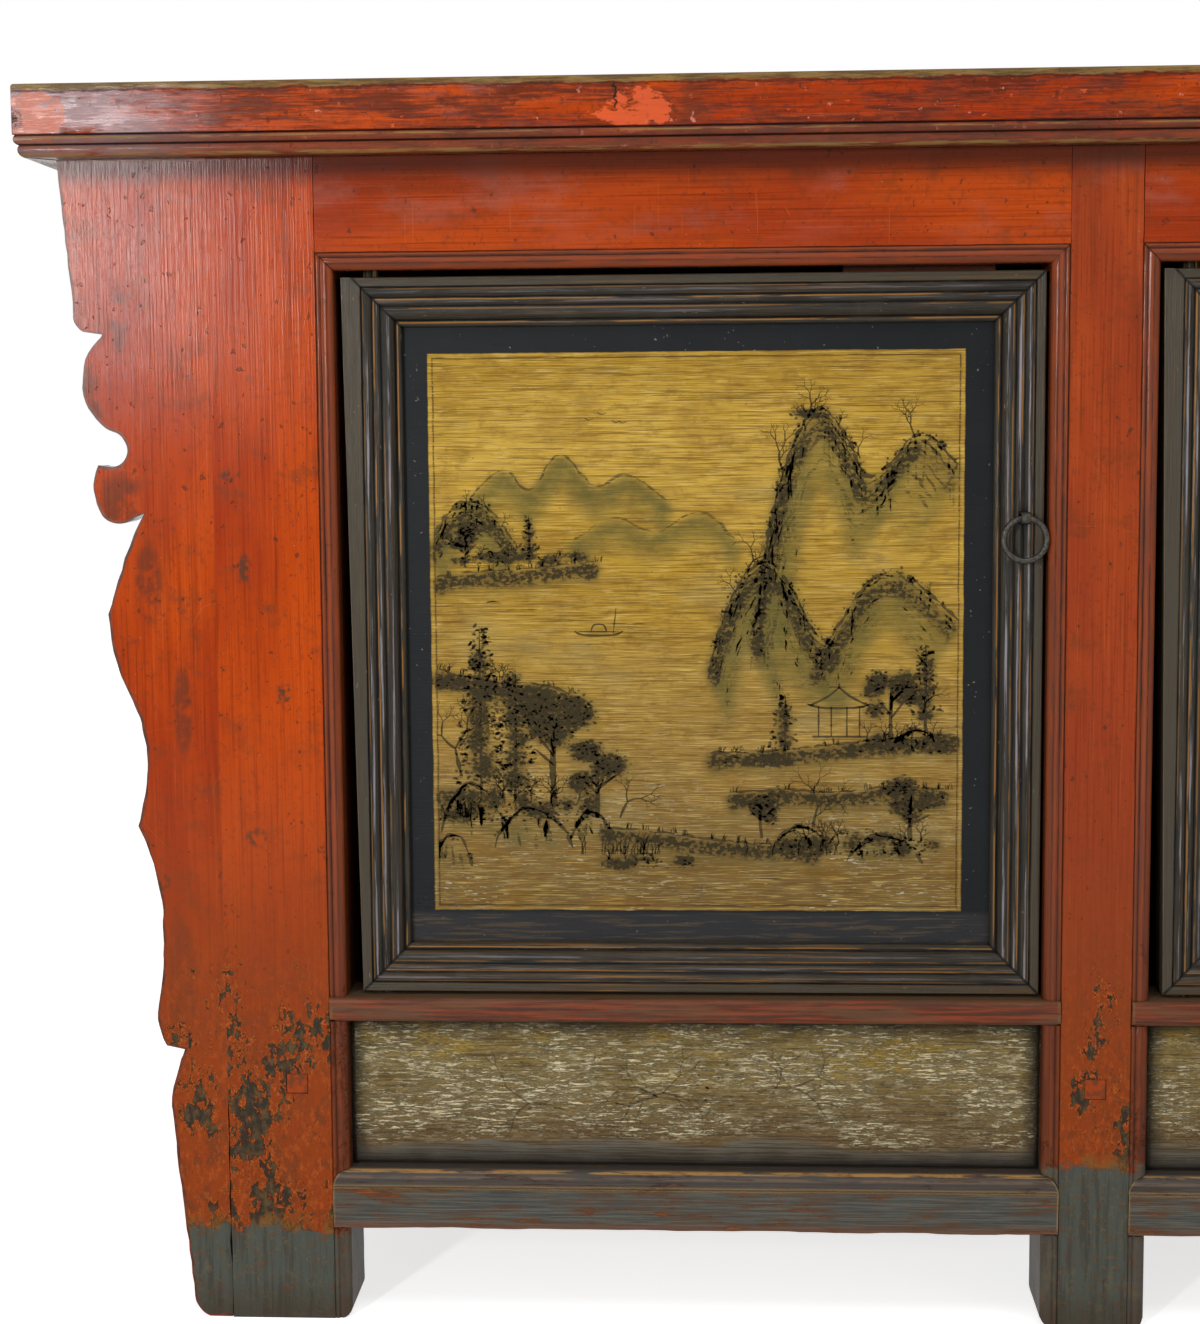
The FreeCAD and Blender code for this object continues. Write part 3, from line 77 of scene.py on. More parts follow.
class Surface:
    """The node tree of one material, built from small steps. Lengths are in millimetres. colour is what the
    coats have built up so far."""

    def __init__(self, name):
        self.material = bpy.data.materials.new(name)
        self.material.use_nodes = True
        self.nodes = self.material.node_tree.nodes
        self.links = self.material.node_tree.links
        self.shader = self.nodes["Principled BSDF"]
        scaled = self.nodes.new("ShaderNodeVectorMath")
        scaled.operation = "SCALE"
        scaled.inputs["Scale"].default_value = 1 / MM
        self.links.new(self.nodes.new("ShaderNodeTexCoord").outputs["Object"], scaled.inputs[0])
        self.place = scaled.outputs[0]
        split = self.nodes.new("ShaderNodeSeparateXYZ")
        self.links.new(self.place, split.inputs[0])
        self.x, self.y, self.z = split.outputs
        self.colour = None

    def put(self, socket, value):
        if isinstance(value, bpy.types.NodeSocket):
            self.links.new(value, socket)
        else:
            socket.default_value = value

    def math(self, operation, *values):
        node = self.nodes.new("ShaderNodeMath")
        node.operation = operation
        for socket, value in zip(node.inputs, values):
            self.put(socket, value)
        return node.outputs[0]

    def chain(self, operation, values):
        result = values[0]
        for value in values[1:]:
            result = self.math(operation, result, value)
        return result

    def times(self, *values):
        return self.chain("MULTIPLY", values)

    def plus(self, *values):
        return self.chain("ADD", values)

    def greatest(self, *values):
        return self.chain("MAXIMUM", values)

    def less(self, first, second):
        return self.math("SUBTRACT", first, second)

    def band(self, value, low, high):
        """0 at low, 1 at high and smooth between, whichever of them is greater."""
        node = self.nodes.new("ShaderNodeMapRange")
        node.interpolation_type = "SMOOTHSTEP"
        for label, number in (("Value", value), ("From Min", low), ("From Max", high)):
            self.put(node.inputs[label], number)
        return node.outputs[0]

    def line(self, value, centre, half):
        """1 at a value and 0 at half a width from it."""
        return self.band(self.apart(value, centre), half, half * 0.3)

    def spot(self, x, z, wide, high):
        """1 at a place on the front and 0 beyond an oval around it."""
        across = self.math("POWER", self.math("ABSOLUTE", self.times(self.less(self.x, x), 1 / wide)), 2)
        up = self.math("POWER", self.math("ABSOLUTE", self.times(self.less(self.z, z), 1 / high)), 2)
        return self.band(self.plus(across, up), 1, 0.3)

    def grain(self, sizes, seed, detail=3, roughness=0.6, warp=0):
        """Noise from 0 to 1, with features of these sizes along X, Y and Z."""
        scaled = self.nodes.new("ShaderNodeVectorMath")
        scaled.operation = "MULTIPLY_ADD"
        self.put(scaled.inputs[0], self.place)
        scaled.inputs[1].default_value = [1 / size for size in sizes]
        scaled.inputs[2].default_value = (seed * 7.3, seed * 3.1, seed * 5.7)
        node = self.nodes.new("ShaderNodeTexNoise")
        self.links.new(scaled.outputs[0], node.inputs["Vector"])
        settings = {"Scale": 1, "Detail": detail, "Roughness": roughness, "Distortion": warp}
        for label, number in settings.items():
            node.inputs[label].default_value = number
        return node.outputs["Fac"]

    def along(self, axis, length, width, seed, *more, **others):
        """Noise drawn out along one axis. The rest is as for grain."""
        sizes = [width] * 3
        sizes[AXES[axis]] = length
        return self.grain(sizes, seed, *more, **others)

    def mix(self, factor, first, second):
        """One colour at 0, another at 1. Each is a socket, or red, green and blue as they are seen."""
        node = self.nodes.new("ShaderNodeMix")
        node.data_type = "RGBA"
        for index, value in ((0, factor), (6, first), (7, second)):
            self.put(node.inputs[index], tone(*value) if isinstance(value, tuple) else value)
        return node.outputs[2]

    def coat(self, colour, *shares):
        """Puts a colour over the one so far, as much as the product of the shares says."""
        self.colour = self.mix(self.times(*shares), self.colour, colour)

    def ramp(self, value, stops):
        """Colours at shares from 0 to 1 of a value."""
        node = self.nodes.new("ShaderNodeValToRGB")
        self.put(node.inputs[0], value)
        elements = node.color_ramp.elements
        while len(elements) < len(stops):
            elements.new(0.5)
        for element, (share, colour) in zip(elements, stops):
            element.position = share
            element.color = tone(*colour)
        return node.outputs[0]

    def apart(self, value, centre):
        """How far a value is from another."""
        return self.math("ABSOLUTE", self.less(value, centre))

    def drawn(self, name):
        """A number that the mesh carries at its corners."""
        node = self.nodes.new("ShaderNodeAttribute")
        node.attribute_name = name
        return node.outputs["Fac"]

    def arris(self, radius, full=0.8):
        """1 along the edges of the mesh and 0 on its flats. full is the cosine of the turn that gives 1."""
        bevel = self.nodes.new("ShaderNodeBevel")
        bevel.samples = 4
        bevel.inputs["Radius"].default_value = radius * MM
        normal = self.nodes.new("ShaderNodeNewGeometry").outputs["Normal"]
        dot = self.nodes.new("ShaderNodeVectorMath")
        dot.operation = "DOT_PRODUCT"
        self.links.new(bevel.outputs[0], dot.inputs[0])
        self.links.new(normal, dot.inputs[1])
        return self.band(dot.outputs["Value"], 0.985, full)

    def turned(self):
        """1 on the edges and sides of a board that faces the front and 0 on its front face."""
        split = self.nodes.new("ShaderNodeSeparateXYZ")
        self.links.new(self.nodes.new("ShaderNodeNewGeometry").outputs["True Normal"], split.inputs[0])
        return self.band(self.math("ABSOLUTE", split.outputs[1]), 0.98, 0.9)

    def finish(self, roughness, height=None, depth=1.0, metallic=0.0, gloss=0.2):
        """Sets the shader, with a bump as deep as the height says."""
        self.put(self.shader.inputs["Base Color"], self.colour)
        self.put(self.shader.inputs["Roughness"], roughness)
        self.shader.inputs["Metallic"].default_value = metallic
        self.shader.inputs["Specular IOR Level"].default_value = gloss
        if height is not None:
            bump = self.nodes.new("ShaderNodeBump")
            bump.inputs["Distance"].default_value = depth * MM
            self.put(bump.inputs["Height"], height)
            self.links.new(bump.outputs[0], self.shader.inputs["Normal"])
        return self.material


# Red lacquer
RED_BRIGHT = (186, 68, 0)
RED_DEEP = (156, 46, 0)
RED_LOW = (142, 58, 12)
RED_SHADE = (104, 30, 0)
RED_PALE = (204, 104, 50)
GRIME = (74, 44, 28)
BARE = (50, 42, 32)
FOOT_GREY = (76, 80, 72)
FOOT_TAN = (122, 82, 38)
# Colours across a bead by distance from its opening: dark brown with dark stripes in its grooves, and paler
# stripes that are painted highlights along its rounds
BEAD_STOPS = [
    (0.0, (96, 52, 30)), (0.1, (122, 60, 32)), (0.3, (104, 54, 34)), (0.36, (56, 34, 26)),
    (0.44, (130, 62, 30)), (0.54, (132, 70, 46)), (0.64, (118, 56, 30)), (0.7, (58, 36, 28)),
    (0.82, (88, 52, 36)), (0.88, (140, 68, 32)), (0.96, (74, 42, 28)),
]


def lacquered(s, axis, seed, shade=0.0):
    """Puts on red lacquer over grain that runs along an axis, and returns its height for a bump."""
    cloud = s.along(axis, 260, 90, seed, 4)
    fibre = s.along(axis, 80, 1.2, seed + 1, 4)
    stripe = s.along(axis, 420, 9, seed + 2, 3)
    s.colour = s.mix(s.band(cloud, 0.36, 0.66), RED_BRIGHT, RED_DEEP)
    s.coat(RED_SHADE, s.band(stripe, 0.52, 0.75), 0.55)
    # shade lays a greyish-brown tone over the piece; on the posts right of the left one it is partly their
    # browner lacquer and partly painted shade for the light falling off towards the right
    s.coat((112, 70, 50), shade)
    s.coat(RED_SHADE, s.band(fibre, 0.5, 0.72), 0.6)
    s.coat(RED_PALE, s.band(fibre, 0.44, 0.24), 0.3)
    smudge = s.band(s.grain((40, 40, 30), seed + 3, 5, 0.7), 0.52, 0.72)
    s.coat((112, 54, 24), smudge, 0.6)
    speck = s.band(s.grain((4, 4, 5), seed + 6, 4, 0.75), 0.55, 0.63)
    s.coat((108, 50, 26), speck, 0.4)
    dent = s.band(s.grain((6, 6, 7), seed + 4, 3), 0.67, 0.7)
    s.coat(GRIME, dent, 0.7)
    chip = s.band(s.grain((2.2, 2.2, 3), seed + 5, 1), 0.78, 0.82)
    s.coat((196, 140, 110), chip, 0.45)
    return s.less(s.times(fibre, 0.3), s.plus(dent, s.times(chip, 0.5)))


def scratches(s, seed):
    """Fine pale arcs and a few upright scratches."""
    bent = s.grain((150, 150, 150), seed, 1, warp=0.4)
    arc = s.line(s.math("FRACT", s.times(bent, 9)), 0.5, 0.006)
    broken = s.band(s.grain((30, 30, 30), seed + 1, 2), 0.5, 0.6)
    s.coat(RED_PALE, arc, broken, 0.35)
    upright = s.band(s.along("z", 75, 0.9, seed + 2, 1), 0.76, 0.8)
    s.coat(RED_PALE, upright, s.band(s.z, 500, 560), 0.5)


def weathered_foot(s, height, foot, seed):
    """Lacquer that has peeled and darkened towards the floor, and bare wood at the foot."""
    low = s.band(s.z, 460, 170)
    s.coat(s.mix(s.grain((34, 34, 20), seed, 4), RED_LOW, (122, 58, 22)), low, 0.85)
    wormed = s.grain((8, 8, 12), seed + 8, 4, 0.65)
    near = s.band(s.z, 330, 110)
    s.coat((98, 54, 28), near, s.band(wormed, 0.5, 0.62), 0.6)
    rough = s.band(s.grain((3.5, 3.5, 6), seed + 9, 4, 0.7), 0.5, 0.66)
    s.coat((176, 84, 32), near, rough, 0.6)
    patch = s.grain((5.5, 5.5, 9), seed + 1, 5, 0.7, warp=0.5)
    place = s.grain((44, 44, 90), seed + 2, 2)
    wanted = s.plus(patch, s.times(s.band(place, 0.42, 0.66), 0.3), s.times(s.band(s.z, 290, 100), 0.17))
    wanted = s.less(wanted, s.times(s.band(s.z, 240, 320), 0.2))
    bare = s.band(wanted, 0.865, 0.88)
    rim = s.line(wanted, 0.83, 0.045)
    s.coat((188, 92, 36), rim, 0.7)
    s.coat((40, 26, 18), s.line(wanted, 0.866, 0.012), 0.8)
    bare_tone = s.mix(s.band(s.grain((5, 5, 8), seed + 3, 5), 0.42, 0.66), BARE, (92, 72, 44))
    s.coat(bare_tone, bare)
    edge = s.plus(s.z, s.times(s.grain((16, 16, 12), seed + 4, 5, 0.65), 34), -17)
    tan = s.times(s.band(edge, foot + 17, foot + 8), s.band(s.grain((26, 26, 60), seed + 5, 3), 0.44, 0.56))
    s.coat(FOOT_TAN, tan, 0.85)
    streak = s.along("z", 60, 4, seed + 6, 4)
    grey = s.mix(s.times(s.band(streak, 0.44, 0.66), 0.7), FOOT_GREY, (60, 56, 48))
    pale = s.band(s.grain((12, 12, 18), seed + 11, 5, 0.7), 0.54, 0.66)
    grey = s.mix(s.times(pale, 0.5), grey, (96, 92, 70))
    rust = s.band(s.grain((9, 9, 6), seed + 7, 5, 0.7), 0.54, 0.64)
    grey = s.mix(s.times(rust, 0.5), grey, (100, 62, 34))
    flake = s.band(s.grain((4, 4, 4), seed + 10, 4, 0.7), 0.58, 0.64)
    grey = s.mix(s.times(flake, 0.5), grey, (116, 84, 52))
    bottom = s.band(edge, foot + 7, foot + 2)
    grey = s.mix(s.times(s.band(s.z, 34, 4), 0.5), grey, (60, 46, 32))
    relief = s.times(s.less(s.times(rim, 1.1), s.times(bare, 2.0)), s.less(1, bottom))
    lines = s.times(s.plus(s.times(streak, 0.5), s.times(rust, 0.4), -1.6), bottom)
    height = s.plus(height, relief, lines)
    s.coat(grey, bottom)
    return height, bottom


def beaded(s, distance, axis, seed):
    """The moulding along an opening, coloured by the distance from the opening's edge, with painted
    highlights on its rounds.
    """
    spread = s.plus(distance, s.times(s.along(axis, 14, 3, seed), 1.0), -0.5)
    stripes = s.ramp(s.times(spread, 1 / BEAD), BEAD_STOPS)
    rubbed = s.band(s.along(axis, 40, 4, seed + 1, 4), 0.46, 0.6)
    stripes = s.mix(s.times(rubbed, 0.45), stripes, (150, 66, 30))
    dulled = s.band(s.along(axis, 60, 3, seed + 2, 4), 0.5, 0.62)
    stripes = s.mix(s.times(dulled, 0.4), stripes, (70, 50, 46))
    near_floor = s.mix(rubbed, (104, 50, 26), (50, 34, 28))
    stripes = s.mix(s.times(s.band(s.z, 430, 160), 0.6), stripes, near_floor)
    s.coat(stripes, s.band(spread, BEAD + 0.4, BEAD - 0.5), 0.92)


def red(name, axis, seed, foot=None, openings=(), bead_axis="x", pegs=(), shade=0.0, knots=(), stains=(),
        seam=None, dull=0.0):
    """The red lacquer of one piece. openings holds (place, way) pairs of the edges that carry a moulding,
    knots the place and size of dark marks, stains those of brown ones, and seam the X of a glued joint."""
    s = Surface(name)
    height = lacquered(s, axis, seed, shade)
    scratches(s, seed + 10)
    wear = s.times(s.arris(1.5), s.band(s.grain((9, 9, 9), seed + 20, 4), 0.26, 0.42))
    if openings:
        wear = s.times(wear, s.band(s.z, OPENING_TOP + 15, OPENING_TOP + 8))
    if stains:
        ragged = s.band(s.grain((14, 14, 18), seed + 24, 5, 0.7), 0.36, 0.56)
        wear = s.times(s.turned(), s.plus(0.6, s.times(ragged, 0.4)))
    for x, z, wide, high in stains:
        s.coat((96, 46, 26), s.spot(x, z, wide, high), ragged, 0.7)
    if seam is not None:
        low = s.times(s.band(s.z, 300, 130), 0.5)
        wear = s.times(wear, s.greatest(s.band(s.apart(s.x, seam), 5, 8), low))
    s.coat((64, 40, 24), wear, 0.9)
    roughness = s.plus(0.1 + dull, s.times(s.grain((60, 60, 60), seed + 21), 0.14))
    # Pinkish patches just below the top: partly bloom of the lacquer, partly painted sheen
    bloom_and_sheen = s.times(s.band(s.grain((60, 60, 26), seed + 22, 5), 0.5, 0.7), s.band(s.z, 735, 800))
    s.coat((160, 98, 82), bloom_and_sheen, 0.35)
    speckled = s.band(s.grain((9, 9, 9), seed + 23, 4, 0.7), 0.44, 0.54)
    for x, z, wide, high in knots:
        s.coat((78, 52, 34), s.spot(x, z, wide, high), speckled, 0.85)
    for x, z in pegs:
        square = s.greatest(s.apart(s.x, x), s.apart(s.z, z))
        s.coat((186, 80, 34), s.band(square, 8, 7), 0.4)
        s.coat((92, 44, 26), s.line(square, 7.6, 1.3), 0.6)
    if foot:
        height, bottom = weathered_foot(s, height, foot, seed + 30)
        under = s.colour
        roughness = s.plus(roughness, s.times(s.band(s.z, 300, 60), 0.3))
    for place, way in openings:
        value = s.x if bead_axis == "x" else s.z
        beaded(s, s.times(s.less(value, place), way), axis, seed + 50)
    if foot:
        s.coat(under, bottom, 0.85)
    shadow = s.times(s.band(s.z, TOP_LOW - 24, TOP_LOW - 6), s.band(s.z, TOP_LOW + 1, TOP_LOW))
    s.coat((62, 24, 12), shadow, 0.85)
    return s.finish(roughness, height, 0.35, gloss=0.1)


def top_edge(name, axis, seed):
    """The red of the top's frame, streaked dark, with rubbed arrises, a few worn patches, and painted sheen
    in streaks along it and over its left end.
    """
    s = Surface(name)
    height = lacquered(s, axis, seed)
    streak = s.along(axis, 26, 2.2, seed + 10, 6, 0.76)
    region = s.along(axis, 90, 26, seed + 17, 4, 0.65)
    dark = s.band(s.plus(s.times(streak, 0.75), s.times(region, 0.7)), 0.7, 0.84)
    s.coat((74, 28, 12), dark, 0.78)
    blotch = s.band(s.grain((26, 26, 20), seed + 21, 5, 0.7), 0.54, 0.64)
    s.coat((112, 44, 14), blotch, 0.5)
    s.coat((182, 64, 10), s.band(streak, 0.42, 0.3), 0.35)
    fine = s.band(s.along(axis, 30, 1.2, seed + 20, 4), 0.5, 0.6)
    s.coat((84, 30, 14), fine, 0.5)
    flecked = s.band(s.grain((5, 5, 7), seed + 22, 4, 0.75), 0.56, 0.64)
    s.coat((88, 36, 16), flecked, 0.5)
    # Pale grey-pink streaks along the edge: painted sheen, on lacquer that is also made duller there
    haze = s.band(s.along(axis, 110, 30, seed + 11, 4), 0.56, 0.7)
    s.coat((150, 96, 88), haze, 0.4)
    # Painted sheen: a pale pinkish-grey patch over the left end of the front edge, where the key lamp's
    # reflection falls
    left = s.times(s.band(s.x, -860, -960), s.band(s.y, -200, -228))
    mottled = s.along(axis, 60, 12, seed + 18, 5, 0.7)
    s.coat((178, 156, 158), left, s.band(mottled, 0.3, 0.5), 0.8)
    ragged = s.grain((9, 9, 9), seed + 12, 5, 0.7)
    worn_end = s.plus(s.times(s.spot(-1008, 845, 30, 26), 0.7), s.times(ragged, 3), -1.5)
    salmon = s.mix(ragged, (226, 150, 132), (196, 120, 100))
    s.coat(salmon, s.band(worn_end, 0.42, 0.56), 0.85)
    notch = s.times(s.spot(-1019, 846, 7, 9), s.band(ragged, 0.4, 0.5))
    s.coat((40, 24, 20), notch, 0.9)
    flaky = s.times(s.along(axis, 14, 7, seed + 13, 5, 0.7), 3)
    patch = s.plus(s.times(s.spot(-596, 847, 32, 18), 0.7), flaky, -1.5)
    s.coat((222, 92, 46), s.band(patch, 0.42, 0.6), 0.85)
    crooked = s.plus(s.x, s.times(s.grain((7, 7, 5), seed + 19, 3), 10))
    crack = s.times(s.line(crooked, -606, 1.4), s.band(s.z, 845, 850))
    s.coat((44, 24, 16), crack, s.band(s.y, -200, -228))
    moulding = s.band(s.z, TOP_LOW + 16, TOP_LOW + 13)
    s.coat(s.mix(s.band(mottled, 0.4, 0.6), (118, 62, 40), (84, 54, 40)), moulding, 0.7)
    grooves = s.plus(s.line(s.z, TOP_LOW + 14.6, 1.2), s.line(s.z, TOP_LOW + 8.3, 1.0))
    s.coat((34, 18, 14), grooves, 0.9)
    rub = s.band(s.along(axis, 30, 3, seed + 14, 4), 0.42, 0.56)
    ridge = s.plus(s.line(s.z, TOP_LOW + 12.6, 0.9), s.line(s.z, TOP_LOW + 1.3, 1.8))
    s.coat((140, 110, 60), ridge, rub, 0.85)
    uneven = s.plus(s.z, s.times(s.along(axis, 30, 9, seed + 15, 5, 0.7), 8), -4)
    rim = s.band(uneven, TOP_HIGH - 5.2, TOP_HIGH - 4)
    edged = s.line(uneven, TOP_HIGH - 5.6, 1.2)
    s.coat((58, 28, 16), edged, 0.7)
    s.coat(s.mix(s.band(streak, 0.4, 0.6), (134, 112, 62), (92, 72, 38)), rim, 0.9)
    flat = s.band(s.z, TOP_HIGH - 0.7, TOP_HIGH - 0.2)
    rubbed_top = s.mix(s.band(s.along(axis, 160, 9, seed + 16, 5), 0.35, 0.65), (128, 58, 28), (84, 56, 36))
    s.coat(rubbed_top, flat)
    roughness = s.plus(0.17, s.times(haze, 0.1), s.times(flat, 0.3))
    return s.finish(roughness, s.less(height, s.times(dark, 0.4)), 0.4, gloss=0.12)


# Other wood
def plain_wood(name, axis, seed, light, dark):
    """Unpainted or thinly coloured wood."""
    s = Surface(name)
    year = s.along(axis, 300, 7, seed, 5, warp=0.3)
    fibre = s.along(axis, 60, 0.9, seed + 1)
    s.colour = s.mix(s.band(year, 0.35, 0.65), light, dark)
    s.coat(dark, s.band(fibre, 0.5, 0.8), 0.5)
    stain = s.band(s.grain((120, 120, 90), seed + 2, 4), 0.5, 0.75)
    s.coat(dark, stain, 0.4)
    s.coat(light, s.arris(1.2), 0.4)
    worn = s.band(s.grain((5, 5, 5), seed + 3, 4), 0.4, 0.62)
    front = s.mix(worn, (156, 62, 16), (112, 54, 26))
    front = s.mix(s.times(s.arris(0.8), 0.6), front, (78, 44, 26))
    s.coat(front, s.band(s.y, FACE + 3, FACE + 2))
    return s.finish(0.75, s.plus(s.times(year, 0.4), fibre), 0.3)


def sill(name, low, high, seed):
    """The sill's worn brown-red."""
    s = Surface(name)
    streak = s.along("x", 70, 2.2, seed, 5, 0.7)
    s.colour = s.mix(s.band(streak, 0.36, 0.6), (130, 58, 28), (70, 38, 24))
    cloud = s.grain((70, 30, 12), seed + 1, 4)
    s.coat((98, 68, 44), s.band(cloud, 0.46, 0.62), 0.6)
    upper = s.band(s.z, SILL_TOP - 2.4, SILL_TOP - 0.8)
    edge = s.greatest(s.band(s.z, SILL_LOW + 2.6, SILL_LOW + 0.8), upper)
    rub = s.band(s.grain((14, 14, 8), seed + 2, 4), 0.36, 0.54)
    s.coat((88, 60, 38), edge, rub, 0.7)
    ends = s.greatest(s.line(s.x, low.x + 13.4, 1.6), s.line(s.x, high.x - 13.4, 1.6))
    s.coat((112, 84, 52), ends, rub, 0.6)
    above = s.times(s.band(s.y, FACE + 0.5, FACE + 4), s.band(s.z, SILL_TOP - 2, SILL_TOP - 0.5))
    s.coat(s.mix(streak, (104, 86, 62), (64, 50, 38)), above, 0.9)
    return s.finish(0.45, streak, 0.5)


def base_rail(name, seed):
    """Blue-grey paint, rubbed through to rust brown and to ochre on the moulding."""
    s = Surface(name)
    fibre = s.along("x", 60, 1.2, seed, 5, 0.7)
    patch = s.plus(s.times(s.grain((40, 30, 9), seed + 1, 6, 0.74), 0.6), s.times(fibre, 0.4))
    s.colour = s.mix(s.band(fibre, 0.34, 0.64), (92, 90, 80), (50, 54, 54))
    s.coat((84, 60, 38), s.band(patch, 0.48, 0.55), 0.75)
    s.coat((140, 74, 32), s.band(patch, 0.565, 0.6), 0.8)
    low = s.band(s.plus(s.z, s.times(patch, 20)), BASE_LOW + 18, BASE_LOW + 10)
    s.coat((112, 62, 34), low, 0.6)
    upper = s.band(s.z, BASE_TOP - 14.5, BASE_TOP - 12.5)
    s.coat(s.mix(fibre, (78, 70, 66), (50, 44, 40)), upper, 0.8)
    s.coat((30, 24, 22), s.line(s.z, BASE_TOP - 13.2, 1.5))
    rub = s.band(s.along("x", 34, 4, seed + 2, 4), 0.38, 0.52)
    s.coat((166, 124, 66), s.line(s.z, BASE_TOP - 1.6, 1.4), rub, 0.9)
    s.coat((120, 96, 74), s.line(s.z, BASE_TOP - 5.5, 1.6), rub, 0.5)
    end = s.times(s.arris(2.6, 0.94), s.band(s.z, BASE_TOP + 1, BASE_TOP - 3))
    end = s.times(end, s.band(s.z, BASE_LOW + 2, BASE_LOW + 6))
    s.coat((150, 120, 76), end, 0.85)
    return s.finish(0.42, s.plus(fibre, s.band(patch, 0.62, 0.56)), 0.45)


DARK = (54, 49, 40)
DARK_BROWN = (80, 60, 36)


def dark_frame(name, axis, edge, way, ends, seed, brown=0.3):
    """Charcoal lacquer of a door member, rubbed through on the arrises of its moulding, with painted
    highlights along the crests of its reeds. edge is the frame's outer edge beside it, way the direction
    into the frame, and ends where the frame ends along it."""
    s = Surface(name)
    across, lengthwise = (s.x, s.z) if axis == "z" else (s.z, s.x)
    share = s.times(s.less(across, edge), way / DOOR_MEMBER)
    share = s.plus(share, s.times(s.along(axis, 50, 5, seed), 0.03), -0.015)
    fibre = s.along(axis, 46, 1.1, seed + 1, 4)
    long_streak = s.along(axis, 150, 2.4, seed + 2, 4, 0.66)
    s.colour = s.mix(s.band(fibre, 0.3, 0.7), DARK, (28, 26, 22))
    s.coat((92, 82, 66), s.band(share, 0.2, 0.16), 0.45)
    s.coat(DARK_BROWN, s.band(long_streak, 0.48, 0.62), brown)
    s.coat((128, 90, 44), s.band(long_streak, 0.6, 0.7), brown)
    grooves = s.line(share, 0.2, 0.03)
    for place in (0.41, 0.59, 0.87):
        grooves = s.greatest(grooves, s.line(share, place, 0.034))
    s.coat((14, 13, 12), grooves, 0.9)
    ridges = s.times(s.line(share, 0.235, 0.02), 0.5)
    for place, amount in ((0.45, 1), (0.635, 0.6), (0.915, 1)):
        ridges = s.greatest(ridges, s.times(s.line(share, place, 0.024), amount))
    rub = s.band(s.along(axis, 60, 4, seed + 3, 4), 0.42, 0.52)
    s.coat((146, 102, 48), ridges, rub, 0.95)
    # Painted highlights: pale lilac-grey lines along the crests of three reeds, strong on upright members
    # and faint on rails
    painted_crest_highlights = s.greatest(s.line(share, 0.3, 0.035), s.line(share, 0.5, 0.035), s.line(share, 0.73, 0.035))
    painted_crest_highlights = s.times(painted_crest_highlights, s.band(s.along(axis, 90, 2.5, seed + 7, 5, 0.7), 0.46, 0.6))
    s.coat((150, 144, 150), painted_crest_highlights, 0.8 if axis == "z" else 0.3)
    reach = s.math("MINIMUM", s.less(lengthwise, ends[0]), s.less(ends[1], lengthwise))
    mitre = s.line(s.less(reach, s.times(s.less(across, edge), way)), 0, 2)
    s.coat((12, 10, 10), mitre, 0.9)
    edge_rub = s.band(s.along(axis, 60, 9, seed + 4), 0.3, 0.46)
    s.coat((160, 142, 104), s.arris(1.1), s.band(share, 0.04, -0.04), edge_rub, 0.8)
    fleck = s.band(s.along(axis, 7, 1.6, seed + 5, 2), 0.72, 0.77)
    s.coat((142, 126, 98), fleck, 0.65)
    haze = s.band(s.grain((40, 40, 70), seed + 6, 4), 0.5, 0.7)
    s.coat((72, 68, 58), haze, 0.3)
    roughness = s.plus(0.2, s.times(fibre, 0.22))
    return s.finish(roughness, s.plus(fibre, s.times(long_streak, 0.8)), 0.6, gloss=0.16)


# Painted panels
def gold_ground(s, low, high, seed):
    """Puts on an ochre-gold ground over ridged grain, and returns its height."""
    share = s.times(s.less(s.z, low), 1 / (high - low))
    uneven = s.plus(share, s.times(s.grain((130, 50, 60), seed, 4), 0.4), -0.2)
    s.colour = s.ramp(uneven, [
        (0.0, (112, 90, 52)), (0.14, (138, 112, 64)), (0.32, (166, 134, 66)), (0.6, (186, 148, 52)),
        (0.82, (204, 166, 68)), (1.0, (180, 142, 48)),
    ])
    ridge = s.along("x", 70, 1.0, seed + 1, 4, 0.72)
    fine = s.along("x", 26, 0.7, seed + 2, 3)
    crisp = s.band(s.along("x", 50, 0.9, seed + 9, 1), 0.56, 0.62)
    bright = s.band(s.along("x", 26, 0.8, seed + 11, 1), 0.58, 0.64)
    s.coat((104, 72, 20), s.band(ridge, 0.52, 0.62), 0.66)
    s.coat((96, 66, 18), crisp, 0.5)
    s.coat((116, 84, 30), s.band(fine, 0.5, 0.7), 0.5)
    s.coat((218, 182, 96), s.band(fine, 0.46, 0.3), 0.5)
    s.coat((226, 196, 118), bright, 0.4)
    blot = s.band(s.grain((46, 40, 24), seed + 3, 6, 0.68), 0.46, 0.68)
    s.coat((130, 92, 26), blot, 0.5)
    aged = s.band(s.grain((14, 14, 8), seed + 7, 5, 0.7), 0.52, 0.66)
    s.coat((112, 80, 30), aged, 0.35)
    smear = s.band(s.grain((90, 40, 50), seed + 6, 3), 0.55, 0.75)
    s.coat((150, 140, 96), smear, 0.3)
    clustered = s.band(s.grain((50, 40, 26), seed + 8, 3), 0.4, 0.6)
    fleck = s.band(s.along("x", 9, 1.5, seed + 4, 3), 0.58, 0.65)
    fleck = s.times(fleck, s.band(share, 0.46, 0.08), clustered)
    s.coat((200, 186, 150), fleck, 0.8)
    pit = s.band(s.grain((5, 5, 4), seed + 5, 1), 0.77, 0.8)
    s.coat((112, 96, 70), pit, 0.7)
    return s.plus(s.times(ridge, -1.2), fine, fleck)


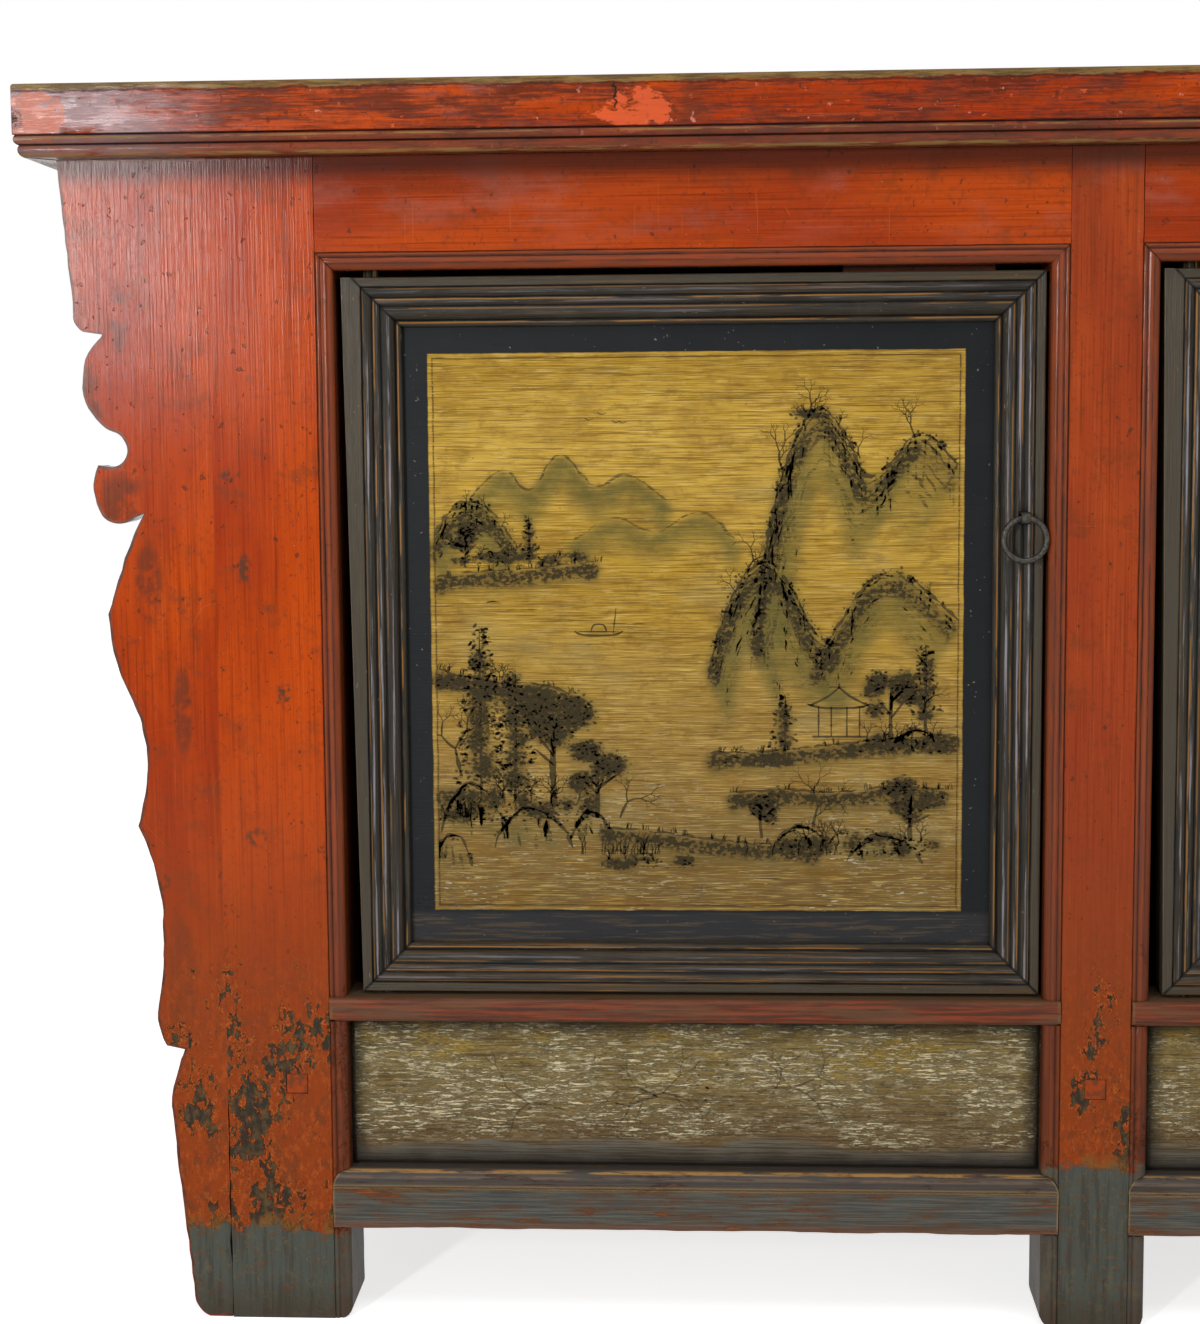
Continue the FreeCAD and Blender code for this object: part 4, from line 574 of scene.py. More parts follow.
def painted(name, rectangle, face, seed):
    """A door panel's gold field with ink on it, its dark margin, and the brown wood behind its face."""
    s = Surface(name)
    x0, x1, z0, z1 = rectangle
    height = gold_ground(s, z0, z1, seed)
    wash, umber, ink = s.drawn("wash"), s.drawn("umber"), s.drawn("ink")
    cloudy = s.plus(0.4, s.times(s.grain((9, 9, 5), seed + 10, 5, 0.7), 1.1))
    s.coat((96, 90, 44), s.math("MINIMUM", s.times(wash, cloudy), 0.86))
    s.coat((104, 74, 32), s.math("MINIMUM", s.times(umber, cloudy), 0.8))
    leaf = s.band(s.grain((3.6, 3.6, 2.6), seed + 17, 4, 0.7), 0.6, 0.42)
    both = s.band(s.times(wash, umber, s.plus(0.3, s.times(leaf, 1.5))), 0.1, 0.42)
    s.coat((48, 42, 24), s.math("MINIMUM", both, 0.92))
    dry = s.along("x", 26, 1.1, seed + 11, 3, 0.7)
    rest = s.times(s.less(1, ink), 0.6)
    cover = s.times(s.band(s.less(dry, rest), 0.14, 0.26), s.band(ink, 0.02, 0.1))
    cover = s.times(cover, s.plus(0.5, s.times(ink, 0.4)))
    s.coat(s.mix(s.grain((6, 6, 6), seed + 12), (40, 33, 20), (72, 62, 36)), cover)
    wobble = s.times(s.grain((22, 22, 22), seed + 13, 3), 1.6)
    left, right = s.less(s.x, x0), s.times(s.less(s.x, x1), -1)
    low, high = s.less(s.z, z0), s.times(s.less(s.z, z1), -1)
    inside = s.less(s.chain("MINIMUM", (left, right, low, high)), s.plus(wobble, -0.8))
    s.coat((70, 52, 24), s.line(inside, 3.4, 0.8), s.band(dry, 0.36, 0.48), 0.8)
    s.coat((206, 168, 74), s.line(inside, 1.3, 1.1), 0.2)
    speck = s.band(s.grain((3, 3, 3), seed + 14, 1), 0.74, 0.78)
    margin = s.mix(s.grain((40, 40, 40), seed + 15, 4), (16, 20, 24), (32, 34, 34))
    margin = s.mix(s.times(speck, 0.6), margin, (140, 134, 118))
    lower = s.times(s.band(low, 0, -6), s.band(s.along("x", 40, 2, seed + 16, 4), 0.52, 0.62))
    margin = s.mix(s.times(s.band(low, 0, -4), 0.6), margin, (52, 52, 54))
    margin = s.mix(s.times(lower, 0.35), margin, (104, 84, 56))
    field = s.band(inside, -0.5, 0.4)
    s.colour = s.mix(field, margin, s.colour)
    year = s.along("z", 300, 8, seed + 18, 5)
    wood = s.mix(s.band(year, 0.35, 0.65), (92, 66, 42), (52, 36, 24))
    s.coat(wood, s.band(s.y, face + 2.5, face + 3))
    return s.finish(0.42, s.times(height, s.plus(0.3, s.times(field, 0.7))), 0.5, gloss=0.1)


def lower_panel(name, low, high, seed):
    """Faded ochre with pale raised flecks, painted shade towards its edges inside the frame, and blue-grey
    at the bottom.
    """
    s = Surface(name)
    ridge = s.along("x", 60, 1.5, seed, 4, 0.7)
    share = s.times(s.less(s.z, low.z), 1 / (high.z - low.z))
    wavy = s.plus(share, s.times(s.grain((90, 40, 30), seed + 1, 4), 0.3), -0.15)
    s.colour = s.ramp(wavy, [
        (0.06, (80, 78, 70)), (0.17, (98, 92, 78)), (0.21, (104, 80, 46)), (0.34, (112, 88, 50)),
        (0.45, (120, 98, 54)), (0.75, (140, 118, 62)), (1.0, (112, 88, 38)),
    ])
    s.coat((66, 48, 22), s.band(ridge, 0.46, 0.6), 0.85)
    cloud = s.band(s.grain((60, 40, 30), seed + 2, 4), 0.4, 0.56)
    fleck = s.band(s.along("x", 11, 1.3, seed + 3, 5, 0.8), 0.5, 0.56)
    broad = s.band(s.along("x", 16, 4, seed + 6, 6, 0.8), 0.5, 0.6)
    fleck = s.greatest(fleck, s.times(broad, 0.55))
    fleck = s.times(fleck, s.plus(0.25, s.times(cloud, 0.75)), s.band(wavy, 0.16, 0.3))
    s.coat((160, 140, 92), cloud, s.band(wavy, 0.2, 0.4), 0.3)
    s.coat((224, 210, 170), fleck, 0.92)
    gold = s.times(s.band(s.grain((40, 30, 16), seed + 5, 4), 0.52, 0.64), s.band(wavy, 0.5, 0.7))
    s.coat((176, 142, 52), gold, 0.45)
    ink = s.drawn("ink")
    dry = s.less(ridge, s.times(s.less(1, ink), 0.4))
    cover = s.times(s.band(dry, 0.1, 0.3), s.band(ink, 0.02, 0.1), 0.6)
    s.coat((72, 54, 28), cover)
    # Painted shade along the panel's edges, where the frame in front of it shades it
    for value, first, last in ((s.x, low.x, high.x), (s.z, low.z, high.z)):
        for edge, way in ((first + LIP, 1), (last - LIP, -1)):
            inside = s.times(s.less(value, edge), way)
            ragged = s.plus(inside, s.times(s.grain((22, 22, 22), seed + 4, 4), 12), -6)
            s.coat((30, 24, 18), s.band(ragged, 17, 0), 0.9)
    return s.finish(0.6, s.plus(ridge, s.times(fleck, 1.4)), 0.8)


def iron(name, seed):
    """Dark forged iron, rubbed to grey."""
    s = Surface(name)
    pit = s.grain((2, 2, 2), seed, 4)
    s.colour = s.mix(s.band(pit, 0.4, 0.65), (72, 68, 62), (38, 34, 30))
    rust = s.band(s.grain((5, 5, 5), seed + 1, 4), 0.6, 0.72)
    s.coat((84, 54, 34), rust, 0.6)
    return s.finish(s.plus(0.36, s.times(pit, 0.2)), pit, 0.15, metallic=0.7, gloss=0.4)


# Ink paintings
CELL = 3
INK_EDGE = 3
INK_FRONT = 0.12
INK_SUNK = 0.06


def smooth_line(points, step):
    """Places about a step apart on a smooth curve through the given points."""
    line = []
    ends = [points[0]] + list(points) + [points[-1]]
    for a, b, c, d in zip(ends, ends[1:], ends[2:], ends[3:]):
        count = max(1, round(math.dist(b, c) / step))
        for index in range(count):
            t = index / count
            place = []
            for k in (0, 1):
                turn = 2 * a[k] - 5 * b[k] + 4 * c[k] - d[k]
                bend = 3 * b[k] - a[k] - 3 * c[k] + d[k]
                place.append(0.5 * (2 * b[k] + (c[k] - a[k]) * t + turn * t * t + bend * t ** 3))
            line.append(tuple(place))
    line.append(tuple(points[-1]))
    return line


def sway(points, amount, rng):
    """The points, each moved a little."""
    return [(u + rng.uniform(-amount, amount), v + rng.uniform(-amount, amount)) for u, v in points]


def scaled(u, v, wide, high, *shares):
    """Places given as shares of a width and a height from one place."""
    return [(u + wide * across, v + high * up) for across, up in shares]


def moved(place, angle, length):
    """The place at a length from another, in the direction of an angle."""
    return (place[0] + math.cos(angle) * length, place[1] + math.sin(angle) * length)


def cells(middle, reach, count):
    """The lines of a wash's grid within a reach of a place."""
    return range(max(0, int((middle - reach) // CELL)), min(count, int((middle + reach) // CELL) + 2))


class Painting:
    """Ink and washes on a flat field. u runs to the right and v up, in millimetres from its lower left."""

    def __init__(self, corner, size, face, seed):
        self.corner = corner
        self.size = size
        self.face = face
        self.rng = random.Random(seed)
        self.outlines = []
        self.columns, self.rows = (int(length // CELL) + 2 for length in size)
        self.washes = {kind: [[0.0] * self.columns for _ in range(self.rows)] for kind in ("wash", "umber")}

    def soak(self, u, v, wide, high, amount, kind="wash"):
        """A soft round touch of colour."""
        grid = self.washes[kind]
        for row in cells(v, high, self.rows):
            for column in cells(u, wide, self.columns):
                across = (column * CELL - u) / wide
                up = (row * CELL - v) / high
                near = 1 - across * across - up * up
                if near > 0:
                    grid[row][column] = 1 - (1 - grid[row][column]) * (1 - amount * near * near)

    def soaked(self, kind, u, v):
        """How much colour is at a place."""
        if not (0 <= u <= self.size[0] and 0 <= v <= self.size[1]):
            return 0.0
        column, row = u / CELL, v / CELL
        i, j = int(column), int(row)
        a, b = column - i, row - j
        grid = self.washes[kind]
        right, up = min(i + 1, self.columns - 1), min(j + 1, self.rows - 1)
        low = grid[j][i] * (1 - a) + grid[j][right] * a
        high = grid[up][i] * (1 - a) + grid[up][right] * a
        return low * (1 - b) + high * b

    def inside(self, u, v):
        """The place, kept inside the outline of the field."""
        pairs = zip((u, v), self.size)
        return tuple(min(max(value, INK_EDGE), length - INK_EDGE) for value, length in pairs)

    def stroke(self, points, width, ink=1.0, head=0.25, tail=0.15, wobble=0.3):
        """A brush stroke that swells and thins."""
        line = smooth_line(points, 1.8)
        count = len(line) - 1
        if count < 1:
            return
        left, right = [], []
        shift = self.rng.uniform(0, 99)
        for index, (u, v) in enumerate(line):
            share = index / count
            before, after = line[max(0, index - 1)], line[min(count, index + 1)]
            length = math.dist(before, after) or 1
            across = (-(after[1] - before[1]) / length, (after[0] - before[0]) / length)
            swell = min(1, head + share * 5) * min(1, tail + (1 - share) * 3)
            half = width / 2 * swell * (1 + wobble * noise.noise(Vector((u / 5, v / 5, shift))) * 2)
            left.append(self.inside(u + across[0] * half, v + across[1] * half))
            right.append(self.inside(u - across[0] * half, v - across[1] * half))
        self.outlines.append((left, right, ink))

    def blot(self, u, v, wide, high, ink=1.0, tilt=0.0):
        """One touch of a brush: a small uneven oval."""
        corners = []
        cosine, sine = math.cos(tilt), math.sin(tilt)
        for index in range(5):
            angle = index * math.tau / 5 + self.rng.uniform(-0.3, 0.3)
            reach = self.rng.uniform(0.72, 1.15)
            a, b = math.cos(angle) * wide / 2 * reach, math.sin(angle) * high / 2 * reach
            corners.append(self.inside(u + a * cosine - b * sine, v + a * sine + b * cosine))
        self.outlines.append((corners, None, ink))

    def hill(self, ridge, depth, amount, ink=0.0, width=1.0, kind="wash"):
        """A hill: soft colour under a ridge, and its outline if it has ink."""
        line = smooth_line(ridge, 5)
        rng = self.rng
        for u, v in line:
            for share, tall in ((0, 0.16), (0.12, 0.24), (0.35, 0.3), (0.6, 0.3)):
                high = depth * tall + 2
                middle = v - depth * share - high * 0.8
                self.soak(u, middle, depth * 0.1 + 5, high, amount * (0.8 - share), kind)
        if ink:
            start = 0
            while start < len(line) - 2:
                length = rng.randint(3, 9)
                piece = line[start:start + length]
                if len(piece) > 1:
                    self.stroke(sway(piece, 0.7, rng), width * rng.uniform(0.7, 1.5), ink, wobble=0.5)
                start += length - rng.choice((0, 1, 1))

    def crag(self, ridge, depth, ink):
        """A steep hill: broken strokes along its ridge, one below the other, washes, and bushes on top."""
        rng = self.rng
        line = smooth_line(ridge, 4)
        centre = sum(u for u, v in line) / len(line)
        levels = 11
        for level in range(levels):
            share = level / levels
            inner = [(u + (centre - u) * share * 0.4, v - depth * share * 0.75) for u, v in line]
            for u, v in inner[::2]:
                self.soak(u, v - 5, 8, 10, 0.42 * (1 - share * 0.7))
                if level < 3:
                    self.soak(u, v - 8, 7, 8, 0.2, "umber")
            start = 0
            while start < len(inner) - 3:
                length = rng.randint(3, 8)
                piece = sway(inner[start:start + length], 1.2 if level else 0.7, rng)
                if len(piece) > 2 and rng.random() < 0.95 - share * 0.5:
                    width = rng.uniform(1.6, 3.4) if level == 0 else rng.uniform(0.8, 2.4)
                    self.stroke(piece, width, ink * (1 if level == 0 else 0.75 - share * 0.4), wobble=0.6)
                start += length - rng.choice((0, 1, 1, 2))
        for u, v in line:
            if rng.random() < 0.35:
                lean = rng.uniform(-3, 3)
                fall = rng.uniform(0.2, 0.5) * depth
                crease = [(u, v - 2), (u + lean * 0.4, v - fall * 0.5), (u + lean, v - fall)]
                self.stroke(crease, rng.uniform(1, 2), ink * 0.5)
            if rng.random() < 0.5:
                for _ in range(rng.randint(2, 6)):
                    size = rng.uniform(1.2, 2.8)
                    a, b = u + rng.uniform(-4, 4), v + rng.uniform(-2, 2.5)
                    self.blot(a, b, size, size, ink * rng.uniform(0.7, 1))
            if rng.random() < 0.12:
                self.twigs(u, v, rng.uniform(1.2, 1.9), rng.uniform(3, 5), 0.9, ink, 2)

    def twigs(self, u, v, angle, length, width, ink, forks):
        """A bare branch that forks."""
        rng = self.rng
        bend = rng.uniform(-0.35, 0.35)
        middle = moved((u, v), angle, length * 0.5)
        end = moved(middle, angle + bend, length * 0.5)
        self.stroke([(u, v), middle, end], width, ink, head=0.9, tail=0.5)
        if forks:
            for turn in (rng.uniform(0.3, 0.75), -rng.uniform(0.3, 0.75)):
                shorter = length * rng.uniform(0.62, 0.82)
                self.twigs(*end, angle + bend + turn, shorter, width * 0.68, ink, forks - 1)
            if rng.random() < 0.5:
                aside = angle + rng.choice((-0.9, 0.9))
                self.twigs(*middle, aside, length * 0.55, width * 0.55, ink, forks - 1)

    def leafy(self, u, v, height, spread, ink=1.0, count=120):
        """A tree with a crown of small dark touches."""
        rng = self.rng
        top = (u + rng.uniform(-3, 3), v + height * 0.75)
        trunk = [(u, v), (u + rng.uniform(-2, 2), v + height * 0.4), top]
        self.stroke(trunk, height * 0.035 + 1.2, ink, head=1.0)
        for _ in range(6):
            start = (u, v + height * rng.uniform(0.25, 0.6))
            end = (u + rng.uniform(-1, 1) * spread * 0.4, start[1] + height * rng.uniform(0.12, 0.3))
            self.stroke([start, end], 1.6, ink)
        clumps = []
        for _ in range(9):
            clumps.append((u + rng.uniform(-0.4, 0.4) * spread, v + height * rng.uniform(0.38, 0.95)))
        for a, b in clumps:
            self.soak(a, b, spread * 0.34, height * 0.19, 0.9)
            self.soak(a, b - 1, spread * 0.3, height * 0.16, 0.9, "umber")
        for _ in range(int(count * 1.5)):
            a, b = rng.choice(clumps)
            radius, angle = math.sqrt(rng.random()), rng.uniform(0, math.tau)
            a += math.cos(angle) * radius * spread * 0.27
            b += math.sin(angle) * radius * height * 0.15
            size = rng.uniform(1.6, 3.8)
            self.blot(a, b, size, size * 0.6, ink * rng.uniform(0.55, 1), rng.uniform(-0.6, 0.6))

    def cypress(self, u, v, height, spread, ink=1.0):
        """A dark, ragged evergreen of many short touches."""
        rng = self.rng
        self.stroke([(u, v), (u + rng.uniform(-1, 1), v + height)], 1.8, ink, head=1.0)
        for share in (0.2, 0.35, 0.5, 0.65, 0.8):
            reach = spread * 0.52 * (1.1 - share) ** 0.5
            a = u + rng.uniform(-0.1, 0.1) * spread
            self.soak(a, v + height * share, reach, height * 0.13, 0.8)
            self.soak(a, v + height * share, reach * 0.9, height * 0.12, 0.8, "umber")
        for _ in range(int(height * spread / 13)):
            share = rng.uniform(0.1, 1.0)
            reach = spread * 0.5 * (1.1 - share) ** 0.6 * rng.uniform(0.1, 1.15)
            a, b = u + rng.choice((-1, 1)) * reach, v + height * share + rng.uniform(-2, 2)
            size = rng.uniform(2, 5)
            self.blot(a, b, size, size * 0.55, ink * rng.uniform(0.6, 1), rng.uniform(-0.9, 0.9))

    def thicket(self, u, v, wide, high, ink=0.9):
        """A low mass of bushes with bare twigs above it."""
        rng = self.rng
        for _ in range(int(wide / 7) + 2):
            a, b = u + rng.uniform(-0.5, 0.5) * wide, v + rng.uniform(0.1, 0.6) * high
            self.soak(a, b, 11, high * 0.32, 0.7)
            self.soak(a, b, 10, high * 0.28, 0.7, "umber")
        for _ in range(int(wide * high / 11)):
            a = rng.uniform(-0.5, 0.5)
            b = v + high * rng.uniform(0, 0.9) * (1 - abs(a))
            size = rng.uniform(1.6, 3.6)
            self.blot(u + a * wide, b, size, size * 0.6, ink * rng.uniform(0.5, 1), rng.uniform(-0.6, 0.6))
        for _ in range(int(wide / 14) + 1):
            a = u + rng.uniform(-0.4, 0.4) * wide
            self.twigs(a, v + high * 0.4, rng.uniform(1.1, 2.0), high * 0.3, 1.2, ink, 3)

    def rock(self, u, v, wide, high, ink=0.9):
        """A boulder with a dark side."""
        rng = self.rng
        shares = ((-0.5, 0), (-0.42, 0.5), (-0.12, 1), (0.22, 0.86), (0.42, 0.4), (0.5, 0))
        outline = sway(scaled(u, v, wide, high, *shares), high * 0.06, rng)
        for piece in (outline[:4], outline[2:5], outline[4:], outline[1:3]):
            self.stroke(sway(piece, 0.8, rng), rng.uniform(1.8, 3.4), ink, wobble=0.6)
        self.soak(u - wide * 0.2, v + high * 0.4, wide * 0.4, high * 0.6, 0.55)
        self.soak(u + wide * 0.25, v + high * 0.25, wide * 0.3, high * 0.45, 0.35)
        for _ in range(int(wide / 3)):
            a = u + rng.uniform(-0.4, 0.25) * wide
            b = v + high * rng.uniform(0.35, 0.85)
            shade = [(a, b), (a + rng.uniform(-1, 3), b - high * rng.uniform(0.2, 0.5))]
            self.stroke(shade, rng.uniform(1.2, 3), ink * 0.62, wobble=0.6)
        for _ in range(int(wide / 2.5)):
            a = rng.uniform(-0.5, 0.5)
            self.blot(u + a * wide, v + high * (1.05 - a * a * 3) * rng.uniform(0.8, 1), 2.4, 1.9, ink)

    def pavilion(self, u, v, wide):
        """A small open pavilion on four posts."""
        eave, peak = v + wide * 0.62, v + wide * 1.02
        edge = scaled(u, eave, wide, 1, (-0.66, 2), (-0.4, -0.5), (0, -1), (0.4, -0.5), (0.66, 2))
        self.stroke(edge, 1.5, 1.0, head=0.6, tail=0.6)
        for side in (-1, 1):
            slope = scaled(u, eave, side * wide, 1, (0.6, 1), (0.25, wide * 0.2)) + [(u, peak)]
            self.stroke(slope, 1.5, 0.95, head=0.6, tail=0.7)
            for share in (0.42, 0.16):
                post = u + side * wide * share
                self.stroke([(post, eave), (post, v)], 1.0, 0.9, head=0.9, tail=0.9)
        self.soak(u, eave + wide * 0.16, wide * 0.5, wide * 0.24, 0.7)
        self.stroke([(u - wide * 0.55, v), (u + wide * 0.55, v)], 1.3, 0.9, head=0.8, tail=0.8)
        self.stroke([(u, peak - 1), (u, peak + 3)], 1.4, 1.0, head=0.9, tail=0.5)

    def boat(self, u, v, wide):
        """A flat boat with a mat roof and a pole."""
        hull = ((-0.5, 2.6), (-0.3, 0), (0.3, 0), (0.5, 2.8))
        roof = ((-0.16, 2.4), (-0.1, 7), (0.1, 7), (0.16, 2.4))
        for shape, *brush in (
            (hull, 1.5, 0.95, 0.5, 0.5), (((-0.42, 2.4), (0.42, 2.4)), 0.9, 0.8),
            (roof, 1.1, 0.9, 0.8, 0.8), (((0.3, 1), (0.36, 19)), 0.8, 0.8, 0.9, 0.6),
        ):
            self.stroke(scaled(u, v, wide, 1, *shape), *brush)
        self.soak(u, v + 2, wide * 0.5, 5, 0.3)

    def water(self, u, v, wide, high, count, ink=0.35):
        """Level ripples."""
        rng = self.rng
        for _ in range(count):
            a, b = u + rng.uniform(0, wide), v + rng.uniform(0, high)
            length = rng.uniform(8, 34)
            points = [(a, b), (a + length * 0.5, b + rng.uniform(-0.6, 0.6)), (a + length, b)]
            self.stroke(points, rng.uniform(0.6, 1.1), ink * rng.uniform(0.6, 1.2))

    def reeds(self, u, v, wide, high, count, ink=0.8):
        """Grass blades that lean over."""
        for _ in range(count):
            a = u + self.rng.uniform(0, wide)
            lean = self.rng.uniform(-0.35, 0.5) * high
            tall = high * self.rng.uniform(0.5, 1.1)
            blade = [(a, v), (a + lean * 0.3, v + tall * 0.6), (a + lean, v + tall)]
            self.stroke(blade, 0.8, ink, head=0.9, tail=0.2)

    def birds(self, u, v, count):
        """A few far birds."""
        for index in range(count):
            a, b = u + index * self.rng.uniform(7, 13), v + self.rng.uniform(-7, 7)
            self.stroke([(a - 3.2, b + 1.8), (a, b), (a + 3.6, b + 1.5)], 0.8, 0.75)

    def shore(self, u, v, wide, slope, ink=0.7):
        """A low bank: a soft brown band with a broken line and tufts."""
        line = []
        for share in (0, 0.25, 0.5, 0.75, 1):
            line.append((u + wide * share, v + slope * share + self.rng.uniform(-2, 2)))
        self.hill(line, 16, 0.6, ink, 1.4)
        self.hill(line, 14, 0.5, 0, 1, "umber")
        for a, b in smooth_line(line, 9):
            if self.rng.random() < 0.6:
                self.reeds(a, b, 5, 5, 4, ink)

    def mesh(self, name):
        """The strokes as thin solid shapes that stand just proud of the face."""
        tree = bmesh.new()
        layers = {kind: tree.verts.layers.float.new(kind) for kind in ("ink", "wash", "umber")}

        def corner(u, v, depth, ink):
            place = (self.corner[0] + u, self.face + depth, self.corner[1] + v)
            vert = tree.verts.new([value * MM for value in place])
            vert[layers["ink"]] = ink
            for kind in ("wash", "umber"):
                vert[layers[kind]] = self.soaked(kind, u, v)
            return vert

        for left, right, ink in self.outlines:
            if right is None:
                front = [corner(u, v, -INK_FRONT, ink) for u, v in left]
                back = [corner(u, v, INK_SUNK, ink) for u, v in left]
                tree.faces.new(front[::-1])
                tree.faces.new(back)
                for index in range(len(front)):
                    after = (index + 1) % len(front)
                    tree.faces.new((front[index], front[after], back[after], back[index]))
                continue
            rings = []
            for a, b in zip(left, right):
                around = ((a, -INK_FRONT), (b, -INK_FRONT), (b, INK_SUNK), (a, INK_SUNK))
                rings.append([corner(*place, depth, ink) for place, depth in around])
            for first, second in zip(rings, rings[1:]):
                for index in range(4):
                    after = (index + 1) % 4
                    tree.faces.new((first[index], second[index], second[after], first[after]))
            tree.faces.new(rings[0])
            tree.faces.new(rings[-1][::-1])
        bmesh.ops.recalc_face_normals(tree, faces=tree.faces)
        return as_object(name, tree)


def as_object(name, tree):
    """A new object from a bmesh."""
    mesh = bpy.data.meshes.new(name)
    tree.to_mesh(mesh)
    tree.free()
    piece = bpy.data.objects.new(name, mesh)
    bpy.context.scene.collection.objects.link(piece)
    return piece


